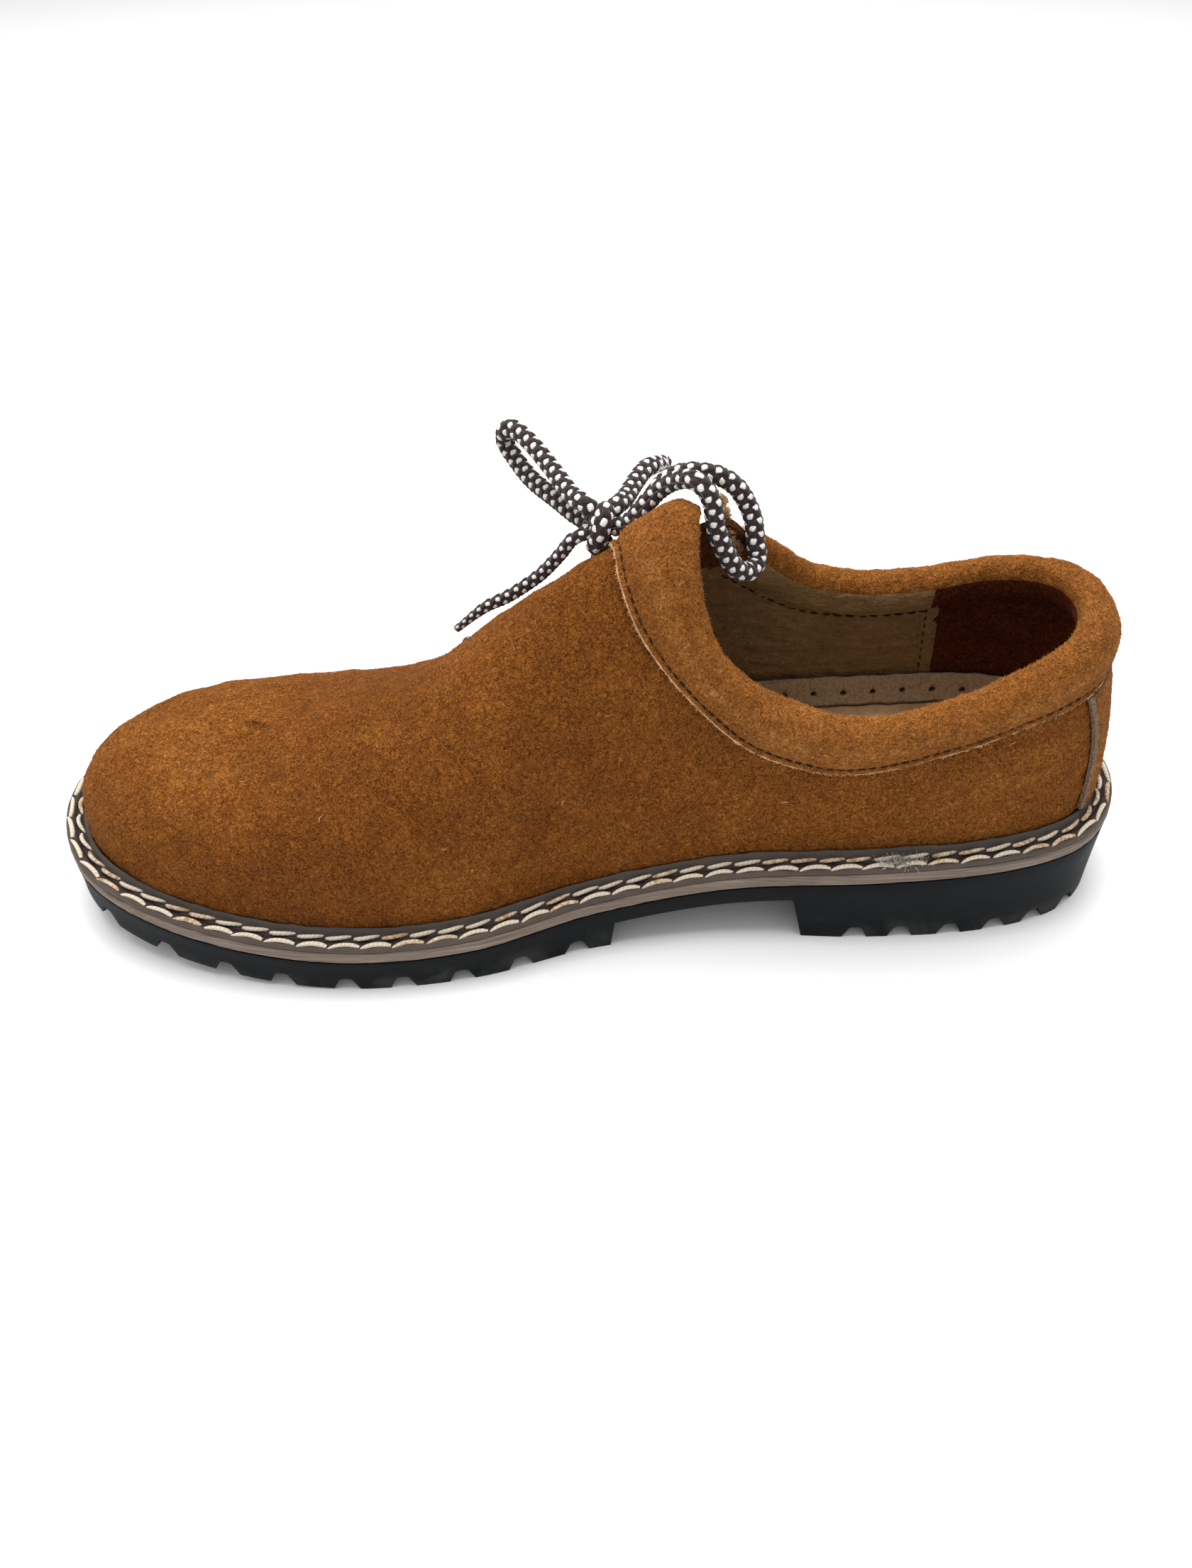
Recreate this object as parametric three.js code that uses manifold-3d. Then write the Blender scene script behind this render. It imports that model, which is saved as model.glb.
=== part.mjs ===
// Right suede shoe with side lacing, a padded collar and a lugged rubber sole.
// Millimetres, +Z up, toe towards -X, medial side towards -Y, ground at z = 0.
// "from_heel" is the distance from the sole's heel back along the shoe.
// "round" is a turn round the outline in degrees: 0 at the heel back, 180 at the toe tip,
// minus on the medial side. "climb" runs up the upper, from 0 at the welt to 1 at the crest.
import * as THREE from 'three';
import { mergeVertices } from 'three/addons/utils/BufferGeometryUtils.js';
import Module from 'manifold-3d';

const wasm = await Module();
wasm.setup();

const { lerp, smoothstep, degToRad, radToDeg } = THREE.MathUtils;

// Driving dimensions
const LENGTH = 300;
const GAP = 0.3;

// Sole heights, and where each stretch of it begins, from the heel back
const HEEL_HEIGHT = 22;
const HEEL_SEAT_RISE = 3;
const HEEL_SEAT_END = 70;
const BALL_HEIGHT = 10.5;
const SHANK_START = 60;
const SHANK_END = 200;
const TOE_SPRING = 10;
const SPRING_START = 205;
const SPRING_POWER = 1.8;
const MIDSOLE = 4;

// Tread: arch, heel breast, lugs along the edge
const ARCH_RUBBER = 5.5;
const BREAST_AT = 90;
const BREAST_LEAN = 4.5;
const LUG_END = 144;
const LUG_DEPTH = 4;
const LUG_REACH = 16;
const NOTCH_WIDTH = 4.8;
const NOTCH_FLARE = 3.2;
const FORE_NOTCHES = { first: 155, pitch: 16.3, count: 9 };
const HEEL_NOTCHES = { first: 13, pitch: 12.8, count: 6 };

// Upper
const WELT_WIDTH = 7;
const WALL = 2.2;
const HEEL_FAN = 42;
const TOE_FAN = 238;
const FAN_EASE = 14;
const LACE_HOLE = 5.6;

// Footbed
const INSOLE = 4;
const INSOLE_RIM = 12;
const INSOLE_FIT = 10.4;

// Lace
const CORD = 5;
const CORD_SIDES = 8;

// Sole outline: the side position of its edge at stations from the heel back
const OUTLINE = [
  { from_heel: 0, medial: 0, lateral: 0 },
  { from_heel: 4, medial: -16.5, lateral: 17 },
  { from_heel: 16, medial: -29.5, lateral: 29.5 },
  { from_heel: 40, medial: -36.5, lateral: 36.5 },
  { from_heel: 75, medial: -37.7, lateral: 38.2 },
  { from_heel: 115, medial: -35, lateral: 41 },
  { from_heel: 150, medial: -38.5, lateral: 46.5 },
  { from_heel: 180, medial: -47, lateral: 51.5 },
  { from_heel: 205, medial: -50, lateral: 52.4 },
  { from_heel: 228, medial: -49.2, lateral: 51.2 },
  { from_heel: 252, medial: -44.4, lateral: 47.6 },
  { from_heel: 273, medial: -36.3, lateral: 41 },
  { from_heel: 289, medial: -25, lateral: 30.5 },
  { from_heel: 298, medial: -9.5, lateral: 15.5 },
  { from_heel: 300, medial: 3, lateral: 3 },
];

// Crest of the last; behind the collar's peak it is only the line that the walls lean to
const CREST = [
  { from_heel: 40, side: 0, height: 116 },
  { from_heel: 85, side: 0, height: 119 },
  { from_heel: 113, side: 1, height: 119.5 },
  { from_heel: 121, side: 1, height: 118.6 },
  { from_heel: 129, side: 1, height: 114.4 },
  { from_heel: 138, side: 1, height: 106.4 },
  { from_heel: 150, side: 0, height: 99.5 },
  { from_heel: 170, side: -3, height: 86.3 },
  { from_heel: 190, side: -5, height: 70.9 },
  { from_heel: 210, side: -5, height: 61.6 },
  { from_heel: 238, side: -2, height: 52.8 },
  { from_heel: 260, side: 0, height: 50.4 },
];

// Walls by side: how far they lean out, how high they stay steep, how far the top stays flat
const WALLS = {
  medial: [
    { from_heel: 7, lean: -1, rise: 0.5, flat: 0.43 },
    { from_heel: 40, lean: 0.5, rise: 0.5, flat: 0.5 },
    { from_heel: 90, lean: 1, rise: 0.48, flat: 0.5 },
    { from_heel: 128, lean: 1, rise: 0.45, flat: 0.35 },
    { from_heel: 160, lean: 3, rise: 0.5, flat: 0.42 },
    { from_heel: 200, lean: 4, rise: 0.6, flat: 0.55 },
    { from_heel: 240, lean: 4, rise: 0.75, flat: 0.6 },
    { from_heel: 293, lean: 2.7, rise: 0.91, flat: 0.62 },
  ],
  lateral: [
    { from_heel: 7, lean: -1, rise: 0.5, flat: 0.43 },
    { from_heel: 40, lean: 0.5, rise: 0.5, flat: 0.5 },
    { from_heel: 90, lean: 2, rise: 0.48, flat: 0.5 },
    { from_heel: 128, lean: 2, rise: 0.45, flat: 0.35 },
    { from_heel: 160, lean: 3, rise: 0.45, flat: 0.35 },
    { from_heel: 200, lean: 3, rise: 0.5, flat: 0.35 },
    { from_heel: 240, lean: 4, rise: 0.74, flat: 0.57 },
    { from_heel: 293, lean: 2.7, rise: 0.91, flat: 0.62 },
  ],
};

// Collar: its top line and the lower edge of its band, from the throat round the heel and back
const COLLAR = [
  { top_round: -81.2, top_climb: 1.12, band_round: -86.7, band_climb: 1.12 },
  { top_round: -80.9, top_climb: 0.98, band_round: -86.5, band_climb: 0.97 },
  { top_round: -80.3, top_climb: 0.78, band_round: -86.1, band_climb: 0.79 },
  { top_round: -79, top_climb: 0.6, band_round: -84.4, band_climb: 0.61 },
  { top_round: -76.6, top_climb: 0.47, band_round: -80.8, band_climb: 0.435 },
  { top_round: -72.1, top_climb: 0.39, band_round: -75, band_climb: 0.295 },
  { top_round: -66, top_climb: 0.35, band_round: -68, band_climb: 0.23 },
  { top_round: -60, top_climb: 0.345, band_round: -61, band_climb: 0.225 },
  { top_round: -51, top_climb: 0.385, band_round: -51, band_climb: 0.265 },
  { top_round: -40, top_climb: 0.445, band_round: -40, band_climb: 0.31 },
  { top_round: -20, top_climb: 0.5, band_round: -20, band_climb: 0.35 },
  { top_round: 0, top_climb: 0.515, band_round: 0, band_climb: 0.36 },
  { top_round: 20, top_climb: 0.505, band_round: 20, band_climb: 0.36 },
  { top_round: 40, top_climb: 0.475, band_round: 40, band_climb: 0.34 },
  { top_round: 52, top_climb: 0.424, band_round: 52, band_climb: 0.29 },
  { top_round: 61, top_climb: 0.422, band_round: 62, band_climb: 0.29 },
  { top_round: 67, top_climb: 0.47, band_round: 69, band_climb: 0.34 },
  { top_round: 72, top_climb: 0.59, band_round: 77, band_climb: 0.47 },
];

// Section of the collar's roll: place down from its top line (0) to the band's edge (1), and
// distance out from the last. It runs over the top and down inside, then back round the upper's edge.
const ROLL = [
  { down: 1, out: 1.7 },
  { down: 0.82, out: 2 },
  { down: 0.56, out: 3.6 },
  { down: 0.32, out: 3.7 },
  { down: 0.12, out: 2.4 },
  { down: -0.02, out: -0.4 },
  { down: 0.03, out: -3.4 },
  { down: 0.22, out: -5.4 },
  { down: 0.5, out: -5.7 },
  { down: 0.7, out: -4.9 },
  { down: 0.7, out: -3.7 },
  { down: 0.5, out: -3.7 },
  { down: 0.3, out: -3.6 },
  { down: 0.18, out: -2.8 },
  { down: 0.14, out: -1.1 },
  { down: 0.19, out: 0 },
  { down: 0.34, out: 0.6 },
  { down: 0.56, out: 0.6 },
  { down: 0.82, out: 0.6 },
  { down: 1, out: 0.6 },
];
const UPPER_EDGE_DOWN = 0.3;

// Side throat: climb of its two edges, each counted on its own side of the crest
const THROAT = [
  { round: 72, medial: 0.48, lateral: 0.58 },
  { round: 82, medial: 1.12, lateral: 0.6 },
  { round: 88, medial: 1.25, lateral: 0.58 },
  { round: 96, medial: 1.37, lateral: 0.55 },
  { round: 104, medial: 1.44, lateral: 0.52 },
  { round: 110, medial: 1.49, lateral: 0.51 },
];

// Lace holes in pairs, all counted on the lateral side
const HOLES = [
  { round: 88.5, near: 0.81, far: 0.52 },
  { round: 95.5, near: 0.695, far: 0.48 },
  { round: 102.5, near: 0.63, far: 0.46 },
];
const KNOT_REACH = { round: 88.4, climb: 0.65 };

// Routes of the bow, from the knot outwards
const KNOT = new THREE.Vector3(4.4, 11, 104.6);
const LOOP_FRONT = [
  [1, 13.8, 109.5], [-2, 17.4, 109.6], [-7.5, 27, 112.6], [-12.3, 34, 115.6], [-16.5, 39, 117.1],
  [-19, 41, 116.2], [-19.7, 43, 112.1], [-17.5, 40.5, 108.9], [-12.8, 34, 105.5], [-6, 25.5, 103.9],
  [-1.8, 20.4, 102.8], [1.9, 16.3, 102.6],
];
const LOOP_BACK = [
  [10.9, 10, 105.5], [12.9, 10, 107.4], [15.5, 10, 110.8], [19.4, 10, 115.4], [23.7, 8, 118.8],
  [27.8, 4, 120.2], [31, 1.8, 116.4], [32.4, 0, 109.4], [35, -1, 103.3], [38.1, -1, 98.7],
  [41.6, 1, 96.8], [43.8, 4, 98.3], [43.2, 6, 102.6], [42.7, 8, 106.8], [40.9, 10, 110.9],
  [38, 11, 114.9], [33.9, 12, 117.3], [29.8, 13, 117.8], [25.9, 14.4, 117.2], [21.3, 15.6, 114.7],
  [16.5, 15, 108.6], [12.9, 14.2, 103.9],
];
const END_FRONT = [
  [-2.4, 9.4, 102.2], [-5.7, 10.2, 98], [-10.6, 11.4, 92], [-15.4, 11.6, 88], [-20.4, 12, 84.2],
  [-26.5, 12.4, 80], [-34.6, 14, 72.2],
];
const END_BACK = [
  [8.6, 15, 107.9], [11.3, 20, 107.4], [14.1, 26, 108.3], [17.6, 32, 109.1], [22.9, 39, 106.6],
];

// Smooth reading of a table's column, with slopes taken from the neighbouring rows
function reading(table, key, column, x) {
  const end = table.length - 1;
  let i = 0;
  while (i < end - 1 && x > table[i + 1][key]) i += 1;
  const slope = (k) => {
    const before = table[Math.max(k - 1, 0)];
    const after = table[Math.min(k + 1, end)];
    return (after[column] - before[column]) / (after[key] - before[key]);
  };
  const span = table[i + 1][key] - table[i][key];
  const t = Math.min(Math.max((x - table[i][key]) / span, 0), 1);
  const rise = table[i + 1][column] - table[i][column];
  const m0 = slope(i) * span;
  const m1 = slope(i + 1) * span;
  return table[i][column] + t * m0 + t ** 2 * (3 * rise - 2 * m0 - m1) + t ** 3 * (m0 + m1 - 2 * rise);
}

const turnAt = (from_heel) => radToDeg(Math.acos(1 - (2 * from_heel) / LENGTH));
const stationAt = (round) => (LENGTH / 2) * (1 - Math.cos(degToRad(round)));
const TURNED_OUTLINE = OUTLINE.map((row) => ({ ...row, turn: turnAt(row.from_heel) }));
const sideAt = (round) => reading(TURNED_OUTLINE, 'turn', round < 0 ? 'medial' : 'lateral', Math.abs(round));

// Shift that centres the outline on y = 0
const halfTurn = [...Array(181).keys()];
const widestMedial = Math.min(...halfTurn.map((turn) => sideAt(-turn)));
const widestLateral = Math.max(...halfTurn.map((turn) => sideAt(turn)));
const CENTRE = (widestMedial + widestLateral) / 2;

function wrapped(angle) {
  if (angle > 180) return angle - 360;
  return angle < -180 ? angle + 360 : angle;
}

// Point of the sole's edge at a turn round the outline, set in from the edge
function edge(round, inset = 0) {
  const at = (angle) => {
    const turn = wrapped(angle);
    return new THREE.Vector2(LENGTH / 2 - stationAt(turn), sideAt(turn) - CENTRE);
  };
  const step = 1.5;
  const along = at(round + step).sub(at(round - step)).normalize();
  return at(round).add(new THREE.Vector2(-along.y, along.x).multiplyScalar(inset));
}

const springShare = (s) => Math.max(s - SPRING_START, 0) / (LENGTH - SPRING_START);
const treadHeight = (s) => TOE_SPRING * springShare(s) ** SPRING_POWER;

function rubberTop(s) {
  const fall = smoothstep(s, SHANK_START, SHANK_END);
  const seat = HEEL_HEIGHT + HEEL_SEAT_RISE * Math.max(1 - s / HEEL_SEAT_END, 0);
  return lerp(seat, BALL_HEIGHT, fall) + treadHeight(s);
}

const midsoleTop = (s) => rubberTop(s) + MIDSOLE;

// Point of the sole's edge with a height that follows the station
function edgePoint(turn, inset, height) {
  const at = edge(turn, inset);
  return new THREE.Vector3(at.x, at.y, height(LENGTH / 2 - at.x));
}

// Station of the crest that a point of the welt climbs to: the toe and the heel are fans
function crestStation(s) {
  const soft = (x) => (x + Math.hypot(x, FAN_EASE)) / 2;
  return HEEL_FAN + soft(s - HEEL_FAN) - soft(s - TOE_FAN);
}

// Point of the last's surface. A climb over 1 goes down the other side of the crest.
function last(angle, climb) {
  if (climb > 1) return last(-angle, 2 - climb);
  const round = wrapped(angle);
  const foot = edge(round, WELT_WIDTH);
  const s = LENGTH / 2 - foot.x;
  const crest_s = crestStation(s);
  const top = reading(CREST, 'from_heel', 'height', crest_s);
  const crest = new THREE.Vector2(LENGTH / 2 - crest_s, reading(CREST, 'from_heel', 'side', crest_s));
  const fall = (reading(CREST, 'from_heel', 'height', crest_s + 1) - top) * (s - crest_s);
  const bottom = midsoleTop(s) + 2 * GAP;
  const walls = round < 0 ? WALLS.medial : WALLS.lateral;
  const lean = reading(walls, 'from_heel', 'lean', s);
  const rise = reading(walls, 'from_heel', 'rise', s);
  const flat = reading(walls, 'from_heel', 'flat', s);
  const inward = crest.clone().sub(foot).normalize();
  const low = foot.clone().addScaledVector(inward, -lean);
  const high = crest.clone().lerp(foot, flat);
  const section = new THREE.CubicBezierCurve3(
    new THREE.Vector3(foot.x, foot.y, bottom),
    new THREE.Vector3(low.x, low.y, lerp(bottom, top, rise)),
    new THREE.Vector3(high.x, high.y, top + fall * flat),
    new THREE.Vector3(crest.x, crest.y, top),
  );
  return section.getPoint(climb);
}

// The same point moved out from the last, or in where the distance is below 0
function skin(round, climb, out = 0) {
  const turn = 0.75;
  const up = 0.01;
  const along = last(round + turn, climb).sub(last(round - turn, climb));
  const rising = last(round, climb + up).sub(last(round, Math.max(climb - up, 0)));
  const outward = along.cross(rising).normalize();
  return last(round, climb).addScaledVector(outward, out);
}

// Closed mesh from faces of three or four corners, with its faces turned out
function meshOf(faces) {
  const corners = [];
  for (const face of faces) {
    for (let k = 2; k < face.length; k += 1) corners.push(face[0], face[k - 1], face[k]);
  }
  const welded = mergeVertices(new THREE.BufferGeometry().setFromPoints(corners), 1e-3);
  const position = welded.attributes.position;
  const index = [];
  let volume = 0;
  for (let k = 0; k < welded.index.count; k += 3) {
    const [i, j, l] = [0, 1, 2].map((n) => welded.index.getX(k + n));
    if (i === j || j === l || l === i) continue;
    const [a, b, c] = [i, j, l].map((n) => new THREE.Vector3().fromBufferAttribute(position, n));
    volume += a.dot(b.cross(c));
    index.push([i, j, l]);
  }
  const turned = volume < 0 ? index.map(([i, j, l]) => [i, l, j]) : index;
  welded.setIndex(turned.flat());
  return welded;
}

// Stack of rings round the outline, closed by strips across the first and the last ring
function ringSolid(rings) {
  const faces = [];
  const count = rings[0].length;
  rings.slice(1).forEach((ring, r) => {
    ring.forEach((_, k) => {
      const next = (k + 1) % count;
      faces.push([rings[r][k], rings[r][next], ring[next], ring[k]]);
    });
  });
  const strip = (ring, turned) => {
    for (let k = 0; k < count / 2; k += 1) {
      const face = [ring[k], ring[(count - k) % count], ring[count - k - 1], ring[k + 1]];
      faces.push(turned ? face.reverse() : face);
    }
  };
  strip(rings[0], false);
  strip(rings[rings.length - 1], true);
  return meshOf(faces);
}

// Sections of one closed outline joined in a row; the row closes on itself or has two end faces
function rowSolid(sections, closed) {
  const faces = [];
  const count = sections[0].length;
  const joins = closed ? sections.length : sections.length - 1;
  for (let k = 0; k < joins; k += 1) {
    const [here, next] = [sections[k], sections[(k + 1) % sections.length]];
    for (let p = 0; p < count; p += 1) {
      const q = (p + 1) % count;
      faces.push([here[p], next[p], next[q], here[q]]);
    }
  }
  if (!closed) {
    for (let p = 0; p < count / 2 - 1; p += 1) {
      const quad = (section) => [section[p], section[p + 1], section[count - p - 2], section[count - p - 1]];
      faces.push(quad(sections[0]), quad(sections[sections.length - 1]).reverse());
    }
  }
  return meshOf(faces);
}

function toManifold(geometry) {
  const bare = geometry.clone();
  bare.deleteAttribute('normal');
  bare.deleteAttribute('uv');
  const merged = mergeVertices(bare, 1e-4);
  const vertProperties = new Float32Array(merged.attributes.position.array);
  const triVerts = new Uint32Array(merged.index.array);
  return new wasm.Manifold(new wasm.Mesh({ numProp: 3, vertProperties, triVerts }));
}

function fromManifold(solid) {
  const { vertProperties, triVerts } = solid.getMesh();
  const geometry = new THREE.BufferGeometry();
  geometry.setAttribute('position', new THREE.BufferAttribute(vertProperties, 3));
  geometry.setIndex(new THREE.BufferAttribute(triVerts, 1));
  return geometry;
}

function cut(geometry, cutters) {
  const solids = cutters.map(toManifold);
  return fromManifold(solids.reduce((whole, cutter) => whole.subtract(cutter), toManifold(geometry)));
}

function join(geometries) {
  const [first, ...others] = geometries.map(toManifold);
  return fromManifold(others.reduce((whole, other) => whole.add(other), first));
}

const HALF_TURNS = 36;
const TURN_STEP = 180 / HALF_TURNS;
const ringTurns = [...Array(2 * HALF_TURNS).keys()].map((k) => {
  const turn = k * TURN_STEP;
  return turn > 180 ? turn - 360 : turn;
});

// Outsole
const BEYOND = 6;

function archVoid() {
  const shape = new THREE.Shape();
  const steps = 10;
  shape.moveTo(LENGTH / 2 - BREAST_AT, -BEYOND);
  for (let k = 0; k <= steps; k += 1) {
    const s = lerp(BREAST_AT + BREAST_LEAN, LUG_END, k / steps);
    shape.lineTo(LENGTH / 2 - s, rubberTop(s) - ARCH_RUBBER);
  }
  shape.lineTo(LENGTH / 2 - LUG_END - 2, -BEYOND);
  const width = LENGTH / 2;
  const geometry = new THREE.ExtrudeGeometry(shape, { depth: width, bevelEnabled: false });
  geometry.rotateX(Math.PI / 2);
  geometry.translate(0, width / 2, 0);
  return geometry;
}

// Groove between two side lugs, wider at the ground
function notch(round) {
  const outside = edge(round, -BEYOND);
  const inside = edge(round, LUG_REACH);
  const across = new THREE.Vector2(outside.y - inside.y, inside.x - outside.x).normalize();
  const foot = treadHeight(stationAt(round));
  const corners = [
    { aside: -NOTCH_WIDTH / 2 - NOTCH_FLARE, up: -BEYOND },
    { aside: -NOTCH_WIDTH / 2, up: LUG_DEPTH },
    { aside: NOTCH_WIDTH / 2, up: LUG_DEPTH },
    { aside: NOTCH_WIDTH / 2 + NOTCH_FLARE, up: -BEYOND },
  ];
  const section = (at) => corners.map(({ aside, up }) => (
    new THREE.Vector3(at.x + across.x * aside, at.y + across.y * aside, foot + up)
  ));
  return rowSolid([section(outside), section(inside)], false);
}

function outsole() {
  const block = ringSolid([
    ringTurns.map((turn) => edgePoint(turn, 0, treadHeight)),
    ringTurns.map((turn) => edgePoint(turn, 0, rubberTop)),
  ]);
  const notches = [FORE_NOTCHES, HEEL_NOTCHES].flatMap(({ first, pitch, count }) => (
    [...Array(count).keys()].flatMap((k) => {
      const turn = turnAt(first + k * pitch);
      return [notch(turn), notch(-turn)];
    })
  ));
  return cut(block, [archVoid(), ...notches]);
}

function midsole() {
  return ringSolid([
    ringTurns.map((turn) => edgePoint(turn, 0, (s) => rubberTop(s) + GAP)),
    ringTurns.map((turn) => edgePoint(turn, 0, midsoleTop)),
  ]);
}

// Welt section: distance in from the sole's edge and height over the midsole
const WELT = [
  { inset: 0.6, height: GAP },
  { inset: 0.8, height: 1.5 },
  { inset: 3, height: 1.9 },
  { inset: 3.7, height: 1.4 },
  { inset: 4.6, height: 2 },
  { inset: 5.3, height: 3.2 },
  { inset: 6.4, height: 3.4 },
  { inset: 6.6, height: GAP },
];

function welt() {
  const section = (turn) => WELT.map(({ inset, height }) => (
    edgePoint(turn, inset, (s) => midsoleTop(s) + height)
  ));
  return rowSolid(ringTurns.map(section), true);
}

// Footbed with a rim that is high round the heel and the arch, and low in the forefoot
function insole() {
  const rim = (s) => lerp(INSOLE_RIM, 1.5, smoothstep(s, 95, 185));
  const level = (inset, height) => ringTurns.map((turn) => (
    edgePoint(turn, inset, (s) => midsoleTop(s) + GAP + height(s))
  ));
  return ringSolid([
    level(INSOLE_FIT, () => 0),
    level(INSOLE_FIT, (s) => INSOLE + rim(s)),
    level(INSOLE_FIT + 1.4, (s) => INSOLE + rim(s)),
    level(INSOLE_FIT + 4.6, () => INSOLE),
  ]);
}

// A line down the collar, from its top line (0) to the band's edge (1)
function collarPlace(row, down) {
  return { round: lerp(row.top_round, row.band_round, down), climb: lerp(row.top_climb, row.band_climb, down) };
}

// The upper's top edge under the collar's roll
const UPPER_EDGE = COLLAR.map((row) => collarPlace(row, UPPER_EDGE_DOWN));

// Climb of the upper's edge on one side (-1 medial, 1 lateral), from the collar and the throat
function edgeClimb(turn, side) {
  const column = side < 0 ? 'medial' : 'lateral';
  const collar_end = side < 0 ? -UPPER_EDGE[0].round : UPPER_EDGE[UPPER_EDGE.length - 1].round;
  const throat_end = THROAT[THROAT.length - 1];
  if (turn <= collar_end) return reading(UPPER_EDGE, 'round', 'climb', side * turn);
  if (turn <= throat_end.round) return reading(THROAT, 'round', column, turn);
  return lerp(throat_end[column], 1, smoothstep(turn, throat_end.round, 180));
}

// Shell of the upper, grown by an equal distance on every face
const UPPER_STEPS = 8;
const PEAK_TURNS = [72.5, 77, 78.5, 79.5, 80.5, 81.4, 82, 82.5, 82.8, 83.8];

function shell(grow) {
  const throat_end = THROAT[THROAT.length - 1].round;
  const even = [...Array(HALF_TURNS + 1).keys()].map((k) => k * TURN_STEP);
  const turns = [...even, ...PEAK_TURNS].sort((a, b) => a - b);
  const faces = [];
  for (const side of [-1, 1]) {
    const grid = (out) => turns.map((turn) => {
      const top = edgeClimb(turn, side);
      const beyond = turn < throat_end ? grow / 40 : 0;
      return [...Array(UPPER_STEPS + 1).keys()].map((c) => (
        skin(side * turn, (top * c) / UPPER_STEPS + (c === UPPER_STEPS ? beyond : 0), out)
      ));
    });
    const outer = grid(grow);
    const inner = grid(-WALL - grow);
    const add = (face) => faces.push(side < 0 ? face : face.reverse());
    for (let r = 0; r < turns.length - 1; r += 1) {
      for (let c = 0; c < UPPER_STEPS; c += 1) {
        add([outer[r][c], outer[r][c + 1], outer[r + 1][c + 1], outer[r + 1][c]]);
        add([inner[r][c], inner[r + 1][c], inner[r + 1][c + 1], inner[r][c + 1]]);
      }
      add([outer[r][0], outer[r + 1][0], inner[r + 1][0], inner[r][0]]);
      if (turns[r + 1] <= throat_end) {
        const top = UPPER_STEPS;
        add([outer[r][top], inner[r][top], inner[r + 1][top], outer[r + 1][top]]);
      }
    }
  }
  return meshOf(faces);
}

// Round tube along a route; its ends are flat
function tube(points, diameter, steps) {
  const circle = [...Array(CORD_SIDES).keys()].map((k) => {
    const angle = (2 * Math.PI * k) / CORD_SIDES;
    return new THREE.Vector2(Math.cos(angle), Math.sin(angle)).multiplyScalar(diameter / 2);
  });
  const extrudePath = new THREE.CatmullRomCurve3(points);
  return new THREE.ExtrudeGeometry(new THREE.Shape(circle), { steps, bevelEnabled: false, extrudePath });
}

function upper() {
  const holes = HOLES.flatMap(({ round, near, far }) => [near, far].map((climb) => (
    tube([skin(round, climb, 3), skin(round, climb, -1), skin(round, climb, -5)], LACE_HOLE, 2)
  )));
  return cut(shell(0), holes);
}

function collar() {
  const stations = 46;
  const rows = [...Array(stations + 1).keys()].map((k) => {
    const at = (k / stations) * (COLLAR.length - 1);
    const numbered = COLLAR.map((row, n) => ({ ...row, n }));
    const row = {};
    for (const column of ['top_round', 'top_climb', 'band_round', 'band_climb']) {
      row[column] = reading(numbered, 'n', column, at);
    }
    return row;
  });
  const sections = rows.map((row) => ROLL.map(({ down, out }) => {
    const place = collarPlace(row, down);
    return skin(place.round, place.climb, out);
  }));
  return rowSolid(sections, false);
}

// Sheet that follows the last: rows of places, between two distances from it
function sheet(rows, outside, inside) {
  const sections = rows.map((row) => {
    const face = (out) => row.map(({ round, climb }) => skin(round, climb, out));
    return [...face(outside), ...face(inside).reverse()];
  });
  return rowSolid(sections, false);
}

// Strip down the heel back, from under the collar's band to the welt
function backstay() {
  const half_width = 22;
  const rows = [...Array(11).keys()].map((k) => {
    const round = lerp(-half_width, half_width, k / 10);
    const top = reading(COLLAR, 'band_round', 'band_climb', round) - 0.008;
    return [...Array(6).keys()].map((c) => ({ round, climb: lerp(0.036, top, c / 5) }));
  });
  return cut(sheet(rows, 1.7, -0.6), [shell(GAP)]);
}

function tongue() {
  const rows = [...Array(10).keys()].map((k) => {
    const round = lerp(75.5, 109, k / 9);
    const spread = smoothstep(round, 80, 100);
    const [low, high] = [lerp(0.56, 0.42, spread), lerp(0.82, 0.79, spread)];
    return [...Array(7).keys()].map((c) => ({ round, climb: lerp(low, high, c / 6) }));
  });
  const sections = rows.map((row) => {
    const under = WALL + 0.8 + 3.4 * (1 - smoothstep(row[0].round, 84, 92));
    const face = (out) => row.map(({ round, climb }) => skin(round, climb, out));
    return [...face(-under), ...face(-under - 1.8).reverse()];
  });
  return rowSolid(sections, false);
}

// Crossings of the lace over the throat, joined, a little above the suede
function laceBars() {
  const above = CORD / 2 + 0.6;
  const over = (from, to) => {
    const steps = 4;
    const points = [...Array(steps + 1).keys()].map((k) => {
      const t = k / steps;
      return skin(lerp(from.round, to.round, t), lerp(from.climb, to.climb, t), above);
    });
    return tube(points, CORD, steps);
  };
  const near = HOLES.map(({ round, near: climb }) => ({ round, climb }));
  const far = HOLES.map(({ round, far: climb }) => ({ round, climb }));
  const crossings = [0, 1].flatMap((k) => [over(near[k], far[k + 1]), over(far[k], near[k + 1])]);
  return join([over(near[2], far[2]), over(far[0], KNOT_REACH), ...crossings]);
}

function knot() {
  const ball = new THREE.SphereGeometry(1, 10, 8);
  ball.scale(5.6, 4.6, 5.2);
  ball.translate(KNOT.x, KNOT.y, KNOT.z);
  return ball;
}

const cord = (route, steps) => tube(route.map((point) => new THREE.Vector3(...point)), CORD, steps);

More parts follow.
